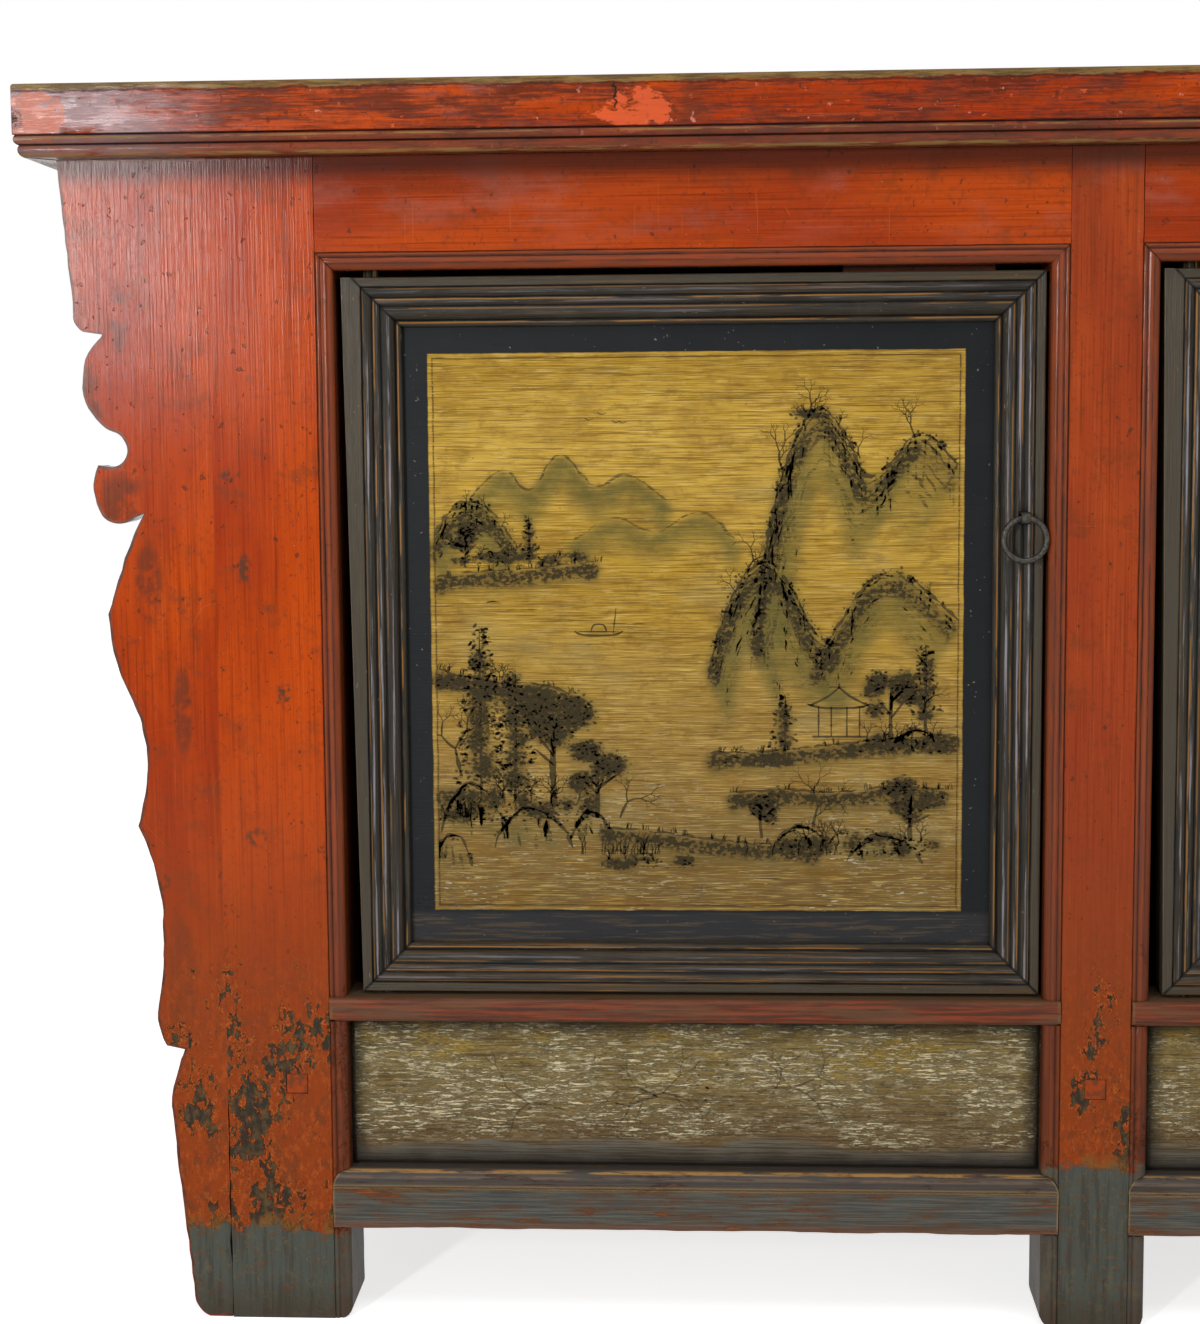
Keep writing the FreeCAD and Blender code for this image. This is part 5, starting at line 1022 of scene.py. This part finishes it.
# What each door shows, as a form of Painting and what it takes, in the order of painting
LANDSCAPES = {
    "left": [
        ("hill", [(28, 292), (52, 312), (70, 298), (92, 322), (116, 300), (140, 308),
         (166, 290)], 26, 0.75, 0.6, 1.4),
        ("hill", [(100, 262), (130, 278), (158, 268), (190, 282), (214, 262)], 22, 0.65, 0.55, 1.4),
        ("crag", [(226, 196), (236, 262), (248, 312), (262, 344), (276, 352), (292, 330), (304, 306),
         (322, 316), (338, 334), (352, 330), (368, 312)], 74, 0.95),
        ("crag", [(196, 176), (208, 214), (222, 240), (238, 246), (254, 226), (268, 198),
         (284, 188)], 52, 0.9),
        ("crag", [(268, 176), (288, 206), (306, 232), (326, 240), (346, 226), (368, 206)], 50, 0.8),
        ("twigs", 246, 312, 1.9, 11, 1.4, 0.95, 4), ("twigs", 264, 346, 1.3, 10, 1.3, 0.95, 4),
        ("twigs", 338, 332, 2, 10, 1.3, 0.95, 4), ("twigs", 222, 238, 1.3, 11, 1.4, 0.95, 4),
        ("thicket", 262, 346, 22, 9, 0.9), ("twigs", 300, 318, 1.9, 8, 1.1, 0.9, 3),
        ("twigs", 214, 226, 2.3, 7, 1, 0.9, 3), ("water", 20, 188, 150, 44, 26, 0.4),
        ("water", 120, 128, 190, 34, 26, 0.4), ("boat", 118, 196, 34), ("birds", 112, 344, 4),
        ("shore", 4, 172, 92, -16, 0.8), ("shore", 196, 112, 172, 14, 0.8),
        ("shore", 120, 60, 150, -14, 0.8), ("cypress", 34, 78, 124, 34), ("cypress", 58, 74, 96, 30, 0.9),
        ("leafy", 86, 74, 84, 50, 1, 240), ("leafy", 116, 66, 52, 42, 0.95, 140),
        ("twigs", 20, 96, 1.8, 20, 2.4, 1, 5), ("twigs", 132, 66, 1.2, 13, 1.7, 0.95, 4),
        ("rock", 28, 56, 46, 34), ("rock", 70, 44, 56, 28), ("rock", 112, 50, 30, 20),
        ("rock", 12, 30, 30, 24), ("reeds", 100, 40, 60, 16, 34), ("reeds", 8, 66, 26, 14, 16),
        ("pavilion", 286, 124, 34), ("leafy", 322, 122, 52, 36, 0.95, 140),
        ("cypress", 248, 110, 44, 20, 0.9), ("cypress", 346, 126, 62, 22, 0.9),
        ("rock", 340, 112, 34, 16, 0.8), ("twigs", 268, 60, 1.4, 15, 1.7, 0.9, 4),
        ("twigs", 342, 136, 1.1, 12, 1.5, 0.9, 4), ("rock", 260, 46, 34, 14, 0.7),
        ("rock", 318, 34, 52, 20, 0.8), ("leafy", 336, 50, 44, 36, 0.9, 130),
        ("leafy", 232, 52, 34, 30, 0.85, 90), ("reeds", 210, 40, 80, 12, 30),
        ("water", 130, 22, 170, 26, 16, 0.3), ("thicket", 58, 64, 110, 30),
        ("thicket", 30, 158, 56, 16, 0.8), ("thicket", 330, 112, 64, 20, 0.9),
        ("thicket", 300, 40, 110, 22, 0.9), ("thicket", 226, 104, 40, 12, 0.8),
        ("thicket", 150, 30, 70, 14, 0.7), ("shore", 4, 238, 112, 10, 0.7),
        ("thicket", 50, 244, 60, 14, 0.7), ("thicket", 96, 246, 30, 9, 0.6),
        ("crag", [(0, 262), (14, 282), (30, 290), (46, 280), (60, 260)], 34, 0.7),
        ("leafy", 24, 244, 30, 22, 0.8, 70), ("cypress", 70, 246, 34, 14, 0.8),
        ("shore", 210, 84, 150, 4, 0.8),
    ],
    "centre": [
        ("hill", [(196, 316), (222, 330), (244, 318), (270, 338), (300, 320), (330, 330),
         (360, 314)], 26, 0.75, 0.6, 1.4),
        ("crag", [(6, 214), (26, 268), (44, 318), (60, 340), (78, 336), (92, 306), (108, 262),
         (124, 232)], 78, 0.95),
        ("crag", [(96, 190), (120, 232), (142, 262), (160, 270), (182, 246), (200, 212),
         (220, 192)], 56, 0.9),
        ("twigs", 58, 336, 1.9, 11, 1.4, 0.95, 4), ("twigs", 150, 264, 1.4, 12, 1.4, 0.95, 4),
        ("twigs", 92, 300, 1.3, 9, 1.1, 0.9, 3), ("thicket", 66, 334, 22, 9, 0.9),
        ("water", 190, 190, 150, 60, 26, 0.4), ("boat", 268, 214, 34), ("birds", 176, 352, 5),
        ("shore", 6, 158, 150, -10, 0.8), ("shore", 150, 96, 216, 20, 0.8), ("pavilion", 62, 164, 32),
        ("leafy", 102, 156, 60, 36, 0.95, 110), ("leafy", 26, 166, 44, 28, 0.9, 80),
        ("rock", 130, 148, 36, 18, 0.8), ("cypress", 312, 96, 126, 36), ("cypress", 288, 92, 98, 30, 0.9),
        ("leafy", 254, 88, 80, 46, 1, 220), ("leafy", 344, 98, 60, 38, 0.9, 120),
        ("twigs", 236, 92, 1.9, 18, 2.2, 1, 5), ("rock", 292, 66, 56, 34), ("rock", 340, 60, 44, 26),
        ("rock", 246, 64, 34, 22), ("reeds", 196, 54, 90, 16, 40), ("rock", 60, 44, 54, 20, 0.8),
        ("leafy", 44, 60, 44, 34, 0.9, 80), ("twigs", 112, 48, 1.3, 15, 1.7, 0.9, 4),
        ("water", 40, 100, 140, 34, 20, 0.35), ("reeds", 90, 34, 70, 12, 26),
        ("thicket", 304, 76, 120, 30), ("thicket", 60, 36, 90, 22, 0.9),
        ("thicket", 90, 148, 110, 18, 0.9),
    ],
    "right": [
        ("hill", [(10, 308), (34, 326), (60, 310), (86, 332), (110, 312)], 26, 0.75, 0.6, 1.4),
        ("crag", [(110, 236), (130, 284), (150, 326), (170, 350), (190, 356), (212, 334), (230, 296),
         (250, 262)], 84, 0.95),
        ("crag", [(228, 214), (252, 252), (276, 284), (300, 292), (324, 268), (346, 232),
         (366, 214)], 60, 0.9),
        ("crag", [(40, 202), (64, 232), (88, 252), (112, 240), (134, 210)], 46, 0.85),
        ("twigs", 168, 348, 2, 10, 1.3, 0.95, 4), ("twigs", 292, 290, 1.3, 12, 1.4, 0.95, 4),
        ("twigs", 90, 250, 1.8, 9, 1.1, 0.9, 3), ("thicket", 184, 352, 22, 9, 0.9),
        ("water", 20, 150, 320, 46, 40, 0.4), ("boat", 84, 168, 34), ("birds", 262, 340, 4),
        ("shore", 220, 136, 148, 12, 0.8), ("pavilion", 318, 150, 32),
        ("leafy", 280, 140, 56, 34, 0.95, 100), ("shore", 6, 96, 190, -18, 0.8),
        ("cypress", 52, 84, 106, 32), ("leafy", 78, 82, 78, 46, 1, 220), ("leafy", 22, 92, 66, 40, 1, 150),
        ("leafy", 112, 80, 62, 34, 0.95, 130), ("rock", 66, 56, 56, 30), ("rock", 118, 54, 40, 24),
        ("rock", 20, 50, 34, 30), ("twigs", 150, 66, 1.2, 15, 1.8, 0.95, 4),
        ("reeds", 120, 38, 70, 14, 34), ("rock", 290, 44, 60, 24, 0.8),
        ("leafy", 312, 62, 48, 34, 0.9, 90), ("twigs", 250, 46, 1.7, 15, 1.7, 0.9, 4),
        ("reeds", 210, 32, 90, 12, 30), ("thicket", 56, 68, 110, 28), ("thicket", 300, 130, 90, 18, 0.9),
        ("thicket", 290, 38, 100, 22, 0.9),
    ],
}


# Pieces
JOIN = 0.005
FLAT_TURN = math.radians(0.5)
SHARP_TURN = math.radians(35)
SEAM_OPEN_TO = 150


def ride(piece, body, replaced=None):
    """Ties a piece to a body, and hides the CAD piece that it stands for."""
    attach(piece, body)
    if replaced:
        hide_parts(replaced)


def dressed(node, material, width=0.7):
    """A CAD piece with a material and softened edges."""
    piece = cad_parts[node]
    piece.data.materials.clear()
    piece.data.materials.append(material)
    weld = piece.modifiers.new("weld", "WELD")
    weld.merge_threshold = JOIN * MM
    flat = piece.modifiers.new("flat", "DECIMATE")
    flat.decimate_type = "DISSOLVE"
    flat.angle_limit = FLAT_TURN
    bevel = piece.modifiers.new("bevel", "BEVEL")
    bevel.width = width * MM
    bevel.segments = 2
    bevel.limit_method = "ANGLE"
    bevel.angle_limit = math.radians(40)


def worn(node, material, axis, rub, step=8, lower=None, width=0.6, tight=None, plain=False,
         slot="red_lacquer"):
    """A copy of a CAD piece with rubbed, slightly uneven arrises. lower is how far its lower front edge
    wavers, tight is the X of a glued seam that has opened only near the floor, and plain joins the flat
    faces between the cuts again, which a wide bevel needs."""
    tree = bmesh.new()
    tree.from_mesh(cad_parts[node].data)
    bmesh.ops.remove_doubles(tree, verts=tree.verts, dist=JOIN * MM)
    bmesh.ops.dissolve_limit(tree, angle_limit=FLAT_TURN, verts=tree.verts, edges=tree.edges)
    index = AXES[axis]
    low, high = edges_of(node)
    normal = Vector((0, 0, 0))
    normal[index] = 1
    cuts = int((high[index] - low[index]) / step)
    for number in range(1, cuts):
        place = normal * (low[index] + number * (high[index] - low[index]) / cuts + 0.13) * MM
        everything = tree.verts[:] + tree.edges[:] + tree.faces[:]
        bmesh.ops.bisect_plane(tree, geom=everything, dist=1e-7, plane_co=place, plane_no=normal)
    tree.normal_update()
    outward = {}
    sharp = []
    for edge in tree.edges:
        if len(edge.link_faces) == 2 and edge.is_convex and edge.calc_face_angle() > SHARP_TURN:
            middle = (edge.verts[0].co + edge.verts[1].co) / 2 / MM
            if tight is not None and abs(middle.x - tight) < 0.3 and middle.z > SEAM_OPEN_TO:
                continue
            sharp.append(edge)
            for vert in edge.verts:
                total = outward.setdefault(vert, Vector((0, 0, 0)))
                for face in edge.link_faces:
                    if abs(face.normal.y) < 0.9:
                        total += face.normal
    shift = Vector((0, 0, sum(map(ord, node)) * 0.37))
    moves = []
    for vert, direction in outward.items():
        place = vert.co / MM
        fine = noise.noise(place / 11 + shift) + 0.7 * noise.noise(place / 31 + shift)
        depth = rub * max(0.1, 0.45 + fine * 0.9)
        moves.append((vert, direction.normalized() * -depth * MM))
        if lower and place.z < low.z + 1 and place.y < low.y + 8:
            rise = lower * max(0, 0.5 + 1.1 * noise.noise(Vector((place.x / 60, 0, 7)) + shift))
            moves.append((vert, Vector((0, 0, rise * MM))))
    for vert, move in moves:
        vert.co += move
    if plain:
        tree.normal_update()
        inner = [edge for edge in tree.edges if len(edge.link_faces) == 2]
        flat = [edge for edge in inner if edge.calc_face_angle() < math.radians(1)]
        bmesh.ops.dissolve_edges(tree, edges=flat, use_verts=False)
    bmesh.ops.bevel(tree, geom=sharp, offset=width * MM, segments=2, profile=0.6, affect="EDGES",
                    clamp_overlap=True)
    for vert in tree.verts:
        for k in range(3):
            vert.co[k] = min(max(vert.co[k], low[k] * MM), high[k] * MM)
    piece = as_object(node + "_worn", tree)
    piece.data.materials.append(material)
    ride(piece, "carcass", node)


LINE_PROUD = 0.04
LINE_WIDTH = 1.7
LINE_SWAY = 1.5


def rubbed_line(node, seam):
    """A thin dark line, uneven in width, on a wing's front face along its sawn outline."""
    tree = bmesh.new()
    tree.from_mesh(bpy.data.objects[node + "_worn"].data)
    tree.normal_update()
    low, _ = edges_of(node)
    front = []
    for face in tree.faces:
        if face.normal.y < -0.99 and face.calc_center_median().y < (low.y + 0.5) * MM:
            front.append(face)
    spans = []
    inward = {}
    for face in front:
        for loop in face.loops:
            start = loop.vert
            end = loop.link_loop_next.vert
            shared = any(other is not face and other in front for other in loop.edge.link_faces)
            length = (end.co - start.co).length
            if shared or length < 1e-7 or abs((start.co.x + end.co.x) / 2 / MM - seam) < 3:
                continue
            across = Vector((0, -1, 0)).cross((end.co - start.co) / length)
            spans.append((start, end))
            for vert in (start, end):
                inward[vert] = inward.get(vert, Vector((0, 0, 0))) + across
    line = bmesh.new()
    lift = Vector((0, -LINE_PROUD * MM, 0))
    sides = {}
    for vert, direction in inward.items():
        width = LINE_WIDTH + LINE_SWAY * noise.noise(vert.co / MM / 19)
        outer = line.verts.new(vert.co + lift)
        inner = line.verts.new(vert.co + lift + direction.normalized() * width * MM)
        sides[vert] = (outer, inner)
    for start, end in spans:
        line.faces.new((sides[start][0], sides[end][0], sides[end][1], sides[start][1]))
    tree.free()
    s = Surface(node + "_line")
    s.colour = s.mix(s.band(s.grain((9, 9, 9), 5, 4), 0.4, 0.6), (78, 36, 20), (116, 50, 22))
    piece = as_object(node + "_line", line)
    piece.data.materials.append(s.finish(0.3))
    ride(piece, "carcass")


# The square tenon ends on the posts, how high the feet are bare, and marks on the left post and the wings
PEGS = (-843, -281, 281, 843)
PEG_LEVEL = 172.5
POST_FOOT, MIDDLE_FOOT, WING_FOOT = 62, 112, 64
POST_KNOTS = [(-868, 350, 9, 8), (-846, 452, 6, 10), (-872, 540, 5, 12), (-880, 604, 9, 5)]
WING_KNOTS = [(-980, 282, 15, 20), (-966, 330, 7, 5), (-934, 318, 5, 8), (-950, 418, 6, 6)]
WING_STAINS = (
    (958, 585, 18, 26), (978, 655, 10, 34), (940, 530, 12, 34),
    (918, 440, 8, 40), (924, 250, 12, 60), (956, 712, 8, 30),
)


def paint_carcass():
    """Materials of everything that doesn't move."""
    for number, place in enumerate(("left", "left_middle", "right_middle", "right")):
        node = "front_%s_post" % place
        low, high = edges_of(node)
        openings = [(low.x, 1)] if place != "left" else []
        openings += [(high.x, -1)] if place != "right" else []
        foot = MIDDLE_FOOT if "middle" in place else POST_FOOT
        seam = {"left": low.x, "right": high.x}.get(place)
        # The posts right of the left one are browner: partly their own tone, partly painted shade for the
        # light falling off towards the right
        shade, knots = (0.0, POST_KNOTS) if place == "left" else (0.3, [])
        pegs = [(PEGS[number], PEG_LEVEL)]
        material = red(node, "z", 3 + number * 5, foot, openings, "x", pegs, shade, knots, seam=seam)
        worn(node, material, "z", 0.5, tight=seam)
    for number, (place, side) in enumerate(SIDES):
        wing = "front_%s_wing" % place
        seam = edges_of("front_%s_post" % place)[0 if side < 0 else 1].x
        knots = WING_KNOTS if side < 0 else []
        stains = [(side * x, *shape) for x, *shape in WING_STAINS]
        material = red(wing, "z", 31 + number * 4, WING_FOOT, knots=knots, stains=stains, seam=seam)
        worn(wing, material, "z", 1.2, width=1.6, tight=seam, plain=True)
        rubbed_line(wing, seam)
        name = "back_%s_post" % place
        dressed(name, red(name, "z", 41 + number * 4, POST_FOOT))
        name = "top_%s_member" % place
        dressed(name, top_edge(name, "y", 51 + number * 3), 1.2)
        for rail in ("top", "bottom"):
            name = "%s_side_%s_rail" % (place, rail)
            dressed(name, red(name, "y", 61 + number * 7))
    dressed("back_wings", red("back_wings", "z", 71, WING_FOOT), 1.2)
    dressed("back_middle_posts", plain_wood("back_middle_posts", "z", 73, (120, 88, 58), (78, 54, 36)))
    worn("top_front_member", top_edge("top_front_member", "x", 1), "x", 1.0, 9)
    dressed("top_back_member", top_edge("top_back_member", "x", 5), 1.2)
    dressed("top_boards", red("top_boards", "x", 81, dull=0.3))
    dressed("side_panels", red("side_panels", "z", 83))
    brown = plain_wood("back_wood", "x", 91, (124, 92, 60), (74, 52, 36))
    for node in ("back_top_rails", "back_bottom_rails"):
        dressed(node, brown)
    dressed("back_panels", plain_wood("back_panels", "z", 92, (118, 86, 56), (70, 50, 34)))
    dressed("floor_boards", plain_wood("bare_wood", "x", 93, (150, 116, 76), (104, 74, 46)))
    across = plain_wood("bare_wood_across", "y", 94, (146, 112, 74), (100, 72, 46))
    for node in ("floor_bearers", "top_battens"):
        dressed(node, across)
    for number, bay in enumerate(BAYS):
        rail = "%s_top_rail" % bay
        material = red(rail, "x", 11 + number * 3, None, [(OPENING_TOP, 1)], "z", shade=0.12)
        worn(rail, material, "x", 0.4)
        name = "%s_sill_rail" % bay
        material = sill(name, *edges_of(name), 21 + number * 3)
        worn(name, material, "x", 0.7, lower=1.6, width=0.9)
        name = "%s_base_rail" % bay
        worn(name, base_rail(name, 23 + number * 3), "x", 0.6, lower=1.2, slot="blue_grey_lacquer")
        name = "%s_lower_panel" % bay
        low, high = edges_of(name)
        material = lower_panel(name, low, high, 25 + number * 3)
        dressed(name, material)
        branch(bay, low, high, material, 25 + number * 3)


def branch(bay, low, high, material, seed):
    """A faded flowering branch on a lower panel."""
    edge = LIP + 16
    size = (high.x - low.x - edge * 2, high.z - low.z - edge * 2)
    picture = Painting((low.x + edge, low.z + edge), size, low.y, seed)
    rng = picture.rng
    wide = size[0]
    start = wide * (0.3 if bay != "centre" else 0.62)
    for number in range(4):
        u, v = start + number * wide * 0.1, size[1] * rng.uniform(0.2, 0.55)
        angle = rng.uniform(0.1, 0.9) if number % 2 else rng.uniform(2.3, 2.9)
        picture.twigs(u, v, angle, 26, 1.8, 0.55, 3)
    for _ in range(70):
        u, v = rng.uniform(0.2, 0.8) * wide, rng.uniform(0.25, 0.95) * size[1]
        across, up = rng.uniform(1.5, 4.5), rng.uniform(1, 2.6)
        picture.blot(u, v, across, up, rng.uniform(0.3, 0.6), rng.uniform(-0.6, 0.6))
    piece = picture.mesh("%s_lower_panel_ink" % bay)
    piece.data.materials.append(material)
    ride(piece, "carcass")


def painted_board(name, node, picture, lips):
    """A door panel with a fine enough mesh to carry the washes. lips is its rectangle inside the frame."""
    x0, x1, z0, z1 = lips
    low, high = edges_of(node)
    across, up = (math.ceil((x1 - x0) / CELL), math.ceil((z1 - z0) / CELL))
    tree = bmesh.new()
    layers = {kind: tree.verts.layers.float.new(kind) for kind in ("ink", "wash", "umber")}
    rows = []
    for row in range(up + 1):
        rows.append([])
        for column in range(across + 1):
            x, z = x0 + (x1 - x0) * column / across, z0 + (z1 - z0) * row / up
            vert = tree.verts.new((x * MM, low.y * MM, z * MM))
            for kind in ("wash", "umber"):
                vert[layers[kind]] = picture.soaked(kind, x - picture.corner[0], z - picture.corner[1])
            rows[-1].append(vert)
    for first, second in zip(rows, rows[1:]):
        for a, b, c, d in zip(first, first[1:], second[1:], second):
            tree.faces.new((a, b, c, d))
    around = [(0, column) for column in range(across)] + [(row, across) for row in range(up)]
    around += [(up, column) for column in range(across, 0, -1)] + [(row, 0) for row in range(up, 0, -1)]
    loop = [rows[row][column] for row, column in around]
    tongue = [(0, TONGUE_FRONT), (LIP, TONGUE_FRONT), (LIP, TONGUE_BACK), (0, TONGUE_BACK)]
    for reach, depth in tongue + [(0, high.y - low.y)]:
        after = []
        for row, column in around:
            x = x0 + (x1 - x0) * column / across + reach * ((column == across) - (column == 0))
            z = z0 + (z1 - z0) * row / up + reach * ((row == up) - (row == 0))
            after.append(tree.verts.new((x * MM, (low.y + depth) * MM, z * MM)))
        for index in range(len(loop)):
            other = (index + 1) % len(loop)
            tree.faces.new((loop[index], after[index], after[other], loop[other]))
        loop = after
    tree.faces.new(loop)
    bmesh.ops.recalc_face_normals(tree, faces=tree.faces)
    return as_object(name, tree)


# The dark margins around the gold field of a door
HINGE_MARGIN, LOCK_MARGIN = 17, 19.5
LOW_MARGIN, TOP_MARGIN = 23, 18.5


def paint_door(bay, seed):
    """Materials and painting of one door."""
    door = "%s_door_" % bay
    into = -1 if bay == "right" else 1
    low, high = edges_of(door + "top_rail")
    hinge_edge, lock_edge = (low.x, high.x) if into > 0 else (high.x, low.x)
    foot = edges_of(door + "bottom_rail")[0].z
    upright, level = (foot, high.z), (low.x, high.x)
    for member, *place in (
        ("hinge_stile", "z", hinge_edge, into, upright, seed, 0.15),
        ("lock_stile", "z", lock_edge, -into, upright, seed + 1, 0.15),
        ("top_rail", "x", high.z, -1, level, seed + 2, 0.35),
        ("bottom_rail", "x", foot, 1, level, seed + 3, 0.9),
    ):
        dressed(door + member, dark_frame(door + member, *place))
    for piece in ("staple", "ring"):
        dressed(door + piece, iron(door + piece, seed + 4), 0.2)
    panel = door + "panel"
    panel_low, panel_high = edges_of(panel)
    lips = (panel_low.x + LIP, panel_high.x - LIP, panel_low.z + LIP, panel_high.z - LIP)
    left, right = (HINGE_MARGIN, LOCK_MARGIN)[::into]
    field = (lips[0] + left, lips[1] - right, lips[2] + LOW_MARGIN, lips[3] - TOP_MARGIN)
    material = painted(panel, field, panel_low.y, seed + 5)
    picture = Painting((field[0], field[2]), (field[1] - field[0], field[3] - field[2]), panel_low.y, seed)
    for form, *details in LANDSCAPES[bay]:
        getattr(picture, form)(*details)
    board = painted_board(door + "painting", panel, picture, lips)
    for piece, replaced in ((board, panel), (picture.mesh(door + "ink"), None)):
        piece.data.materials.append(material)
        ride(piece, "%s_door" % bay, replaced)


# Stage
CAMERA_PLACE = Vector((-0.539, -1.795, 0.637))
CAMERA_YAW, CAMERA_PITCH, CAMERA_ROLL = 0.0542, 0.1027, -0.0078
FOCAL_SHARE = 2300 / 1324
SENSOR = 36
WORLD_LIGHT = 0.36
FLOOR_GLOW = 0.72


def make_camera():
    """The photograph's camera: yaw to the left, pitch down, roll."""
    camera = bpy.data.cameras.new("camera")
    camera.sensor_width = SENSOR
    camera.lens = FOCAL_SHARE * SENSOR
    piece = bpy.data.objects.new("camera", camera)
    bpy.context.scene.collection.objects.link(piece)
    right = Vector((math.cos(CAMERA_YAW), math.sin(CAMERA_YAW), 0))
    level = Vector((-math.sin(CAMERA_YAW), math.cos(CAMERA_YAW), 0))
    forward = level * math.cos(CAMERA_PITCH) - Vector((0, 0, math.sin(CAMERA_PITCH)))
    up = Vector((0, 0, math.cos(CAMERA_PITCH))) + level * math.sin(CAMERA_PITCH)
    turned_right = right * math.cos(CAMERA_ROLL) + up * math.sin(CAMERA_ROLL)
    turned_up = up * math.cos(CAMERA_ROLL) - right * math.sin(CAMERA_ROLL)
    axes = Matrix((turned_right, turned_up, -forward)).transposed().to_4x4()
    piece.matrix_world = Matrix.Translation(CAMERA_PLACE) @ axes
    bpy.context.scene.camera = piece


def area_light(name, place, target, size, radiance):
    """A softbox that faces a point."""
    light = bpy.data.lights.new(name, "AREA")
    light.shape = "RECTANGLE"
    light.size, light.size_y = size
    light.energy = radiance * math.pi * size[0] * size[1]
    piece = bpy.data.objects.new(name, light)
    bpy.context.scene.collection.objects.link(piece)
    piece.location = place
    piece.rotation_euler = (Vector(target) - Vector(place)).to_track_quat("-Z", "Y").to_euler()


def seen(tree, low, high):
    """A strength that is high for what looks at the backdrop and low for what is lit by it."""
    path = tree.nodes.new("ShaderNodeLightPath")
    looking = path.outputs["Is Camera Ray"]
    for label in ("Is Glossy Ray", "Is Transmission Ray"):
        node = tree.nodes.new("ShaderNodeMath")
        node.operation = "MAXIMUM"
        tree.links.new(looking, node.inputs[0])
        tree.links.new(path.outputs[label], node.inputs[1])
        looking = node.outputs[0]
    strength = tree.nodes.new("ShaderNodeMapRange")
    strength.inputs["To Min"].default_value = low
    strength.inputs["To Max"].default_value = high
    tree.links.new(looking, strength.inputs["Value"])
    return strength.outputs[0]


def make_stage():
    """White surroundings, a pale floor and soft lights."""
    scene = bpy.context.scene
    scene.view_settings.view_transform = "Standard"
    world = bpy.data.worlds.new("studio")
    scene.world = world
    world.use_nodes = True
    background = world.node_tree.nodes["Background"]
    background.inputs["Color"].default_value = (1, 1, 1, 1)
    world.node_tree.links.new(seen(world.node_tree, WORLD_LIGHT, 1.0), background.inputs["Strength"])
    bpy.ops.mesh.primitive_plane_add(size=16, location=(0, 0, 0))
    floor = bpy.context.object
    floor.name = "floor"
    paper = bpy.data.materials.new("floor_paper")
    paper.use_nodes = True
    tree = paper.node_tree
    shader = tree.nodes["Principled BSDF"]
    shader.inputs["Base Color"].default_value = (0.8, 0.8, 0.8, 1)
    shader.inputs["Roughness"].default_value = 0.9
    shader.inputs["Emission Color"].default_value = (1, 1, 1, 1)
    tree.links.new(seen(tree, 0.0, FLOOR_GLOW), shader.inputs["Emission Strength"])
    floor.data.materials.append(paper)
    area_light("key", (-1.79, -2.75, 0.97), (-0.6, -0.2, 0.5), (0.15, 0.46), 155)
    area_light("fill", (1.7, -2.6, 1.1), (0.2, -0.2, 0.5), (0.9, 1.3), 2)
    area_light("over", (0, -1.6, 3.0), (0, 0, 0.4), (3.0, 1.2), 2.4)


paint_carcass()
for number, bay in enumerate(BAYS):
    paint_door(bay, 101 + number * 9)
make_camera()
make_stage()
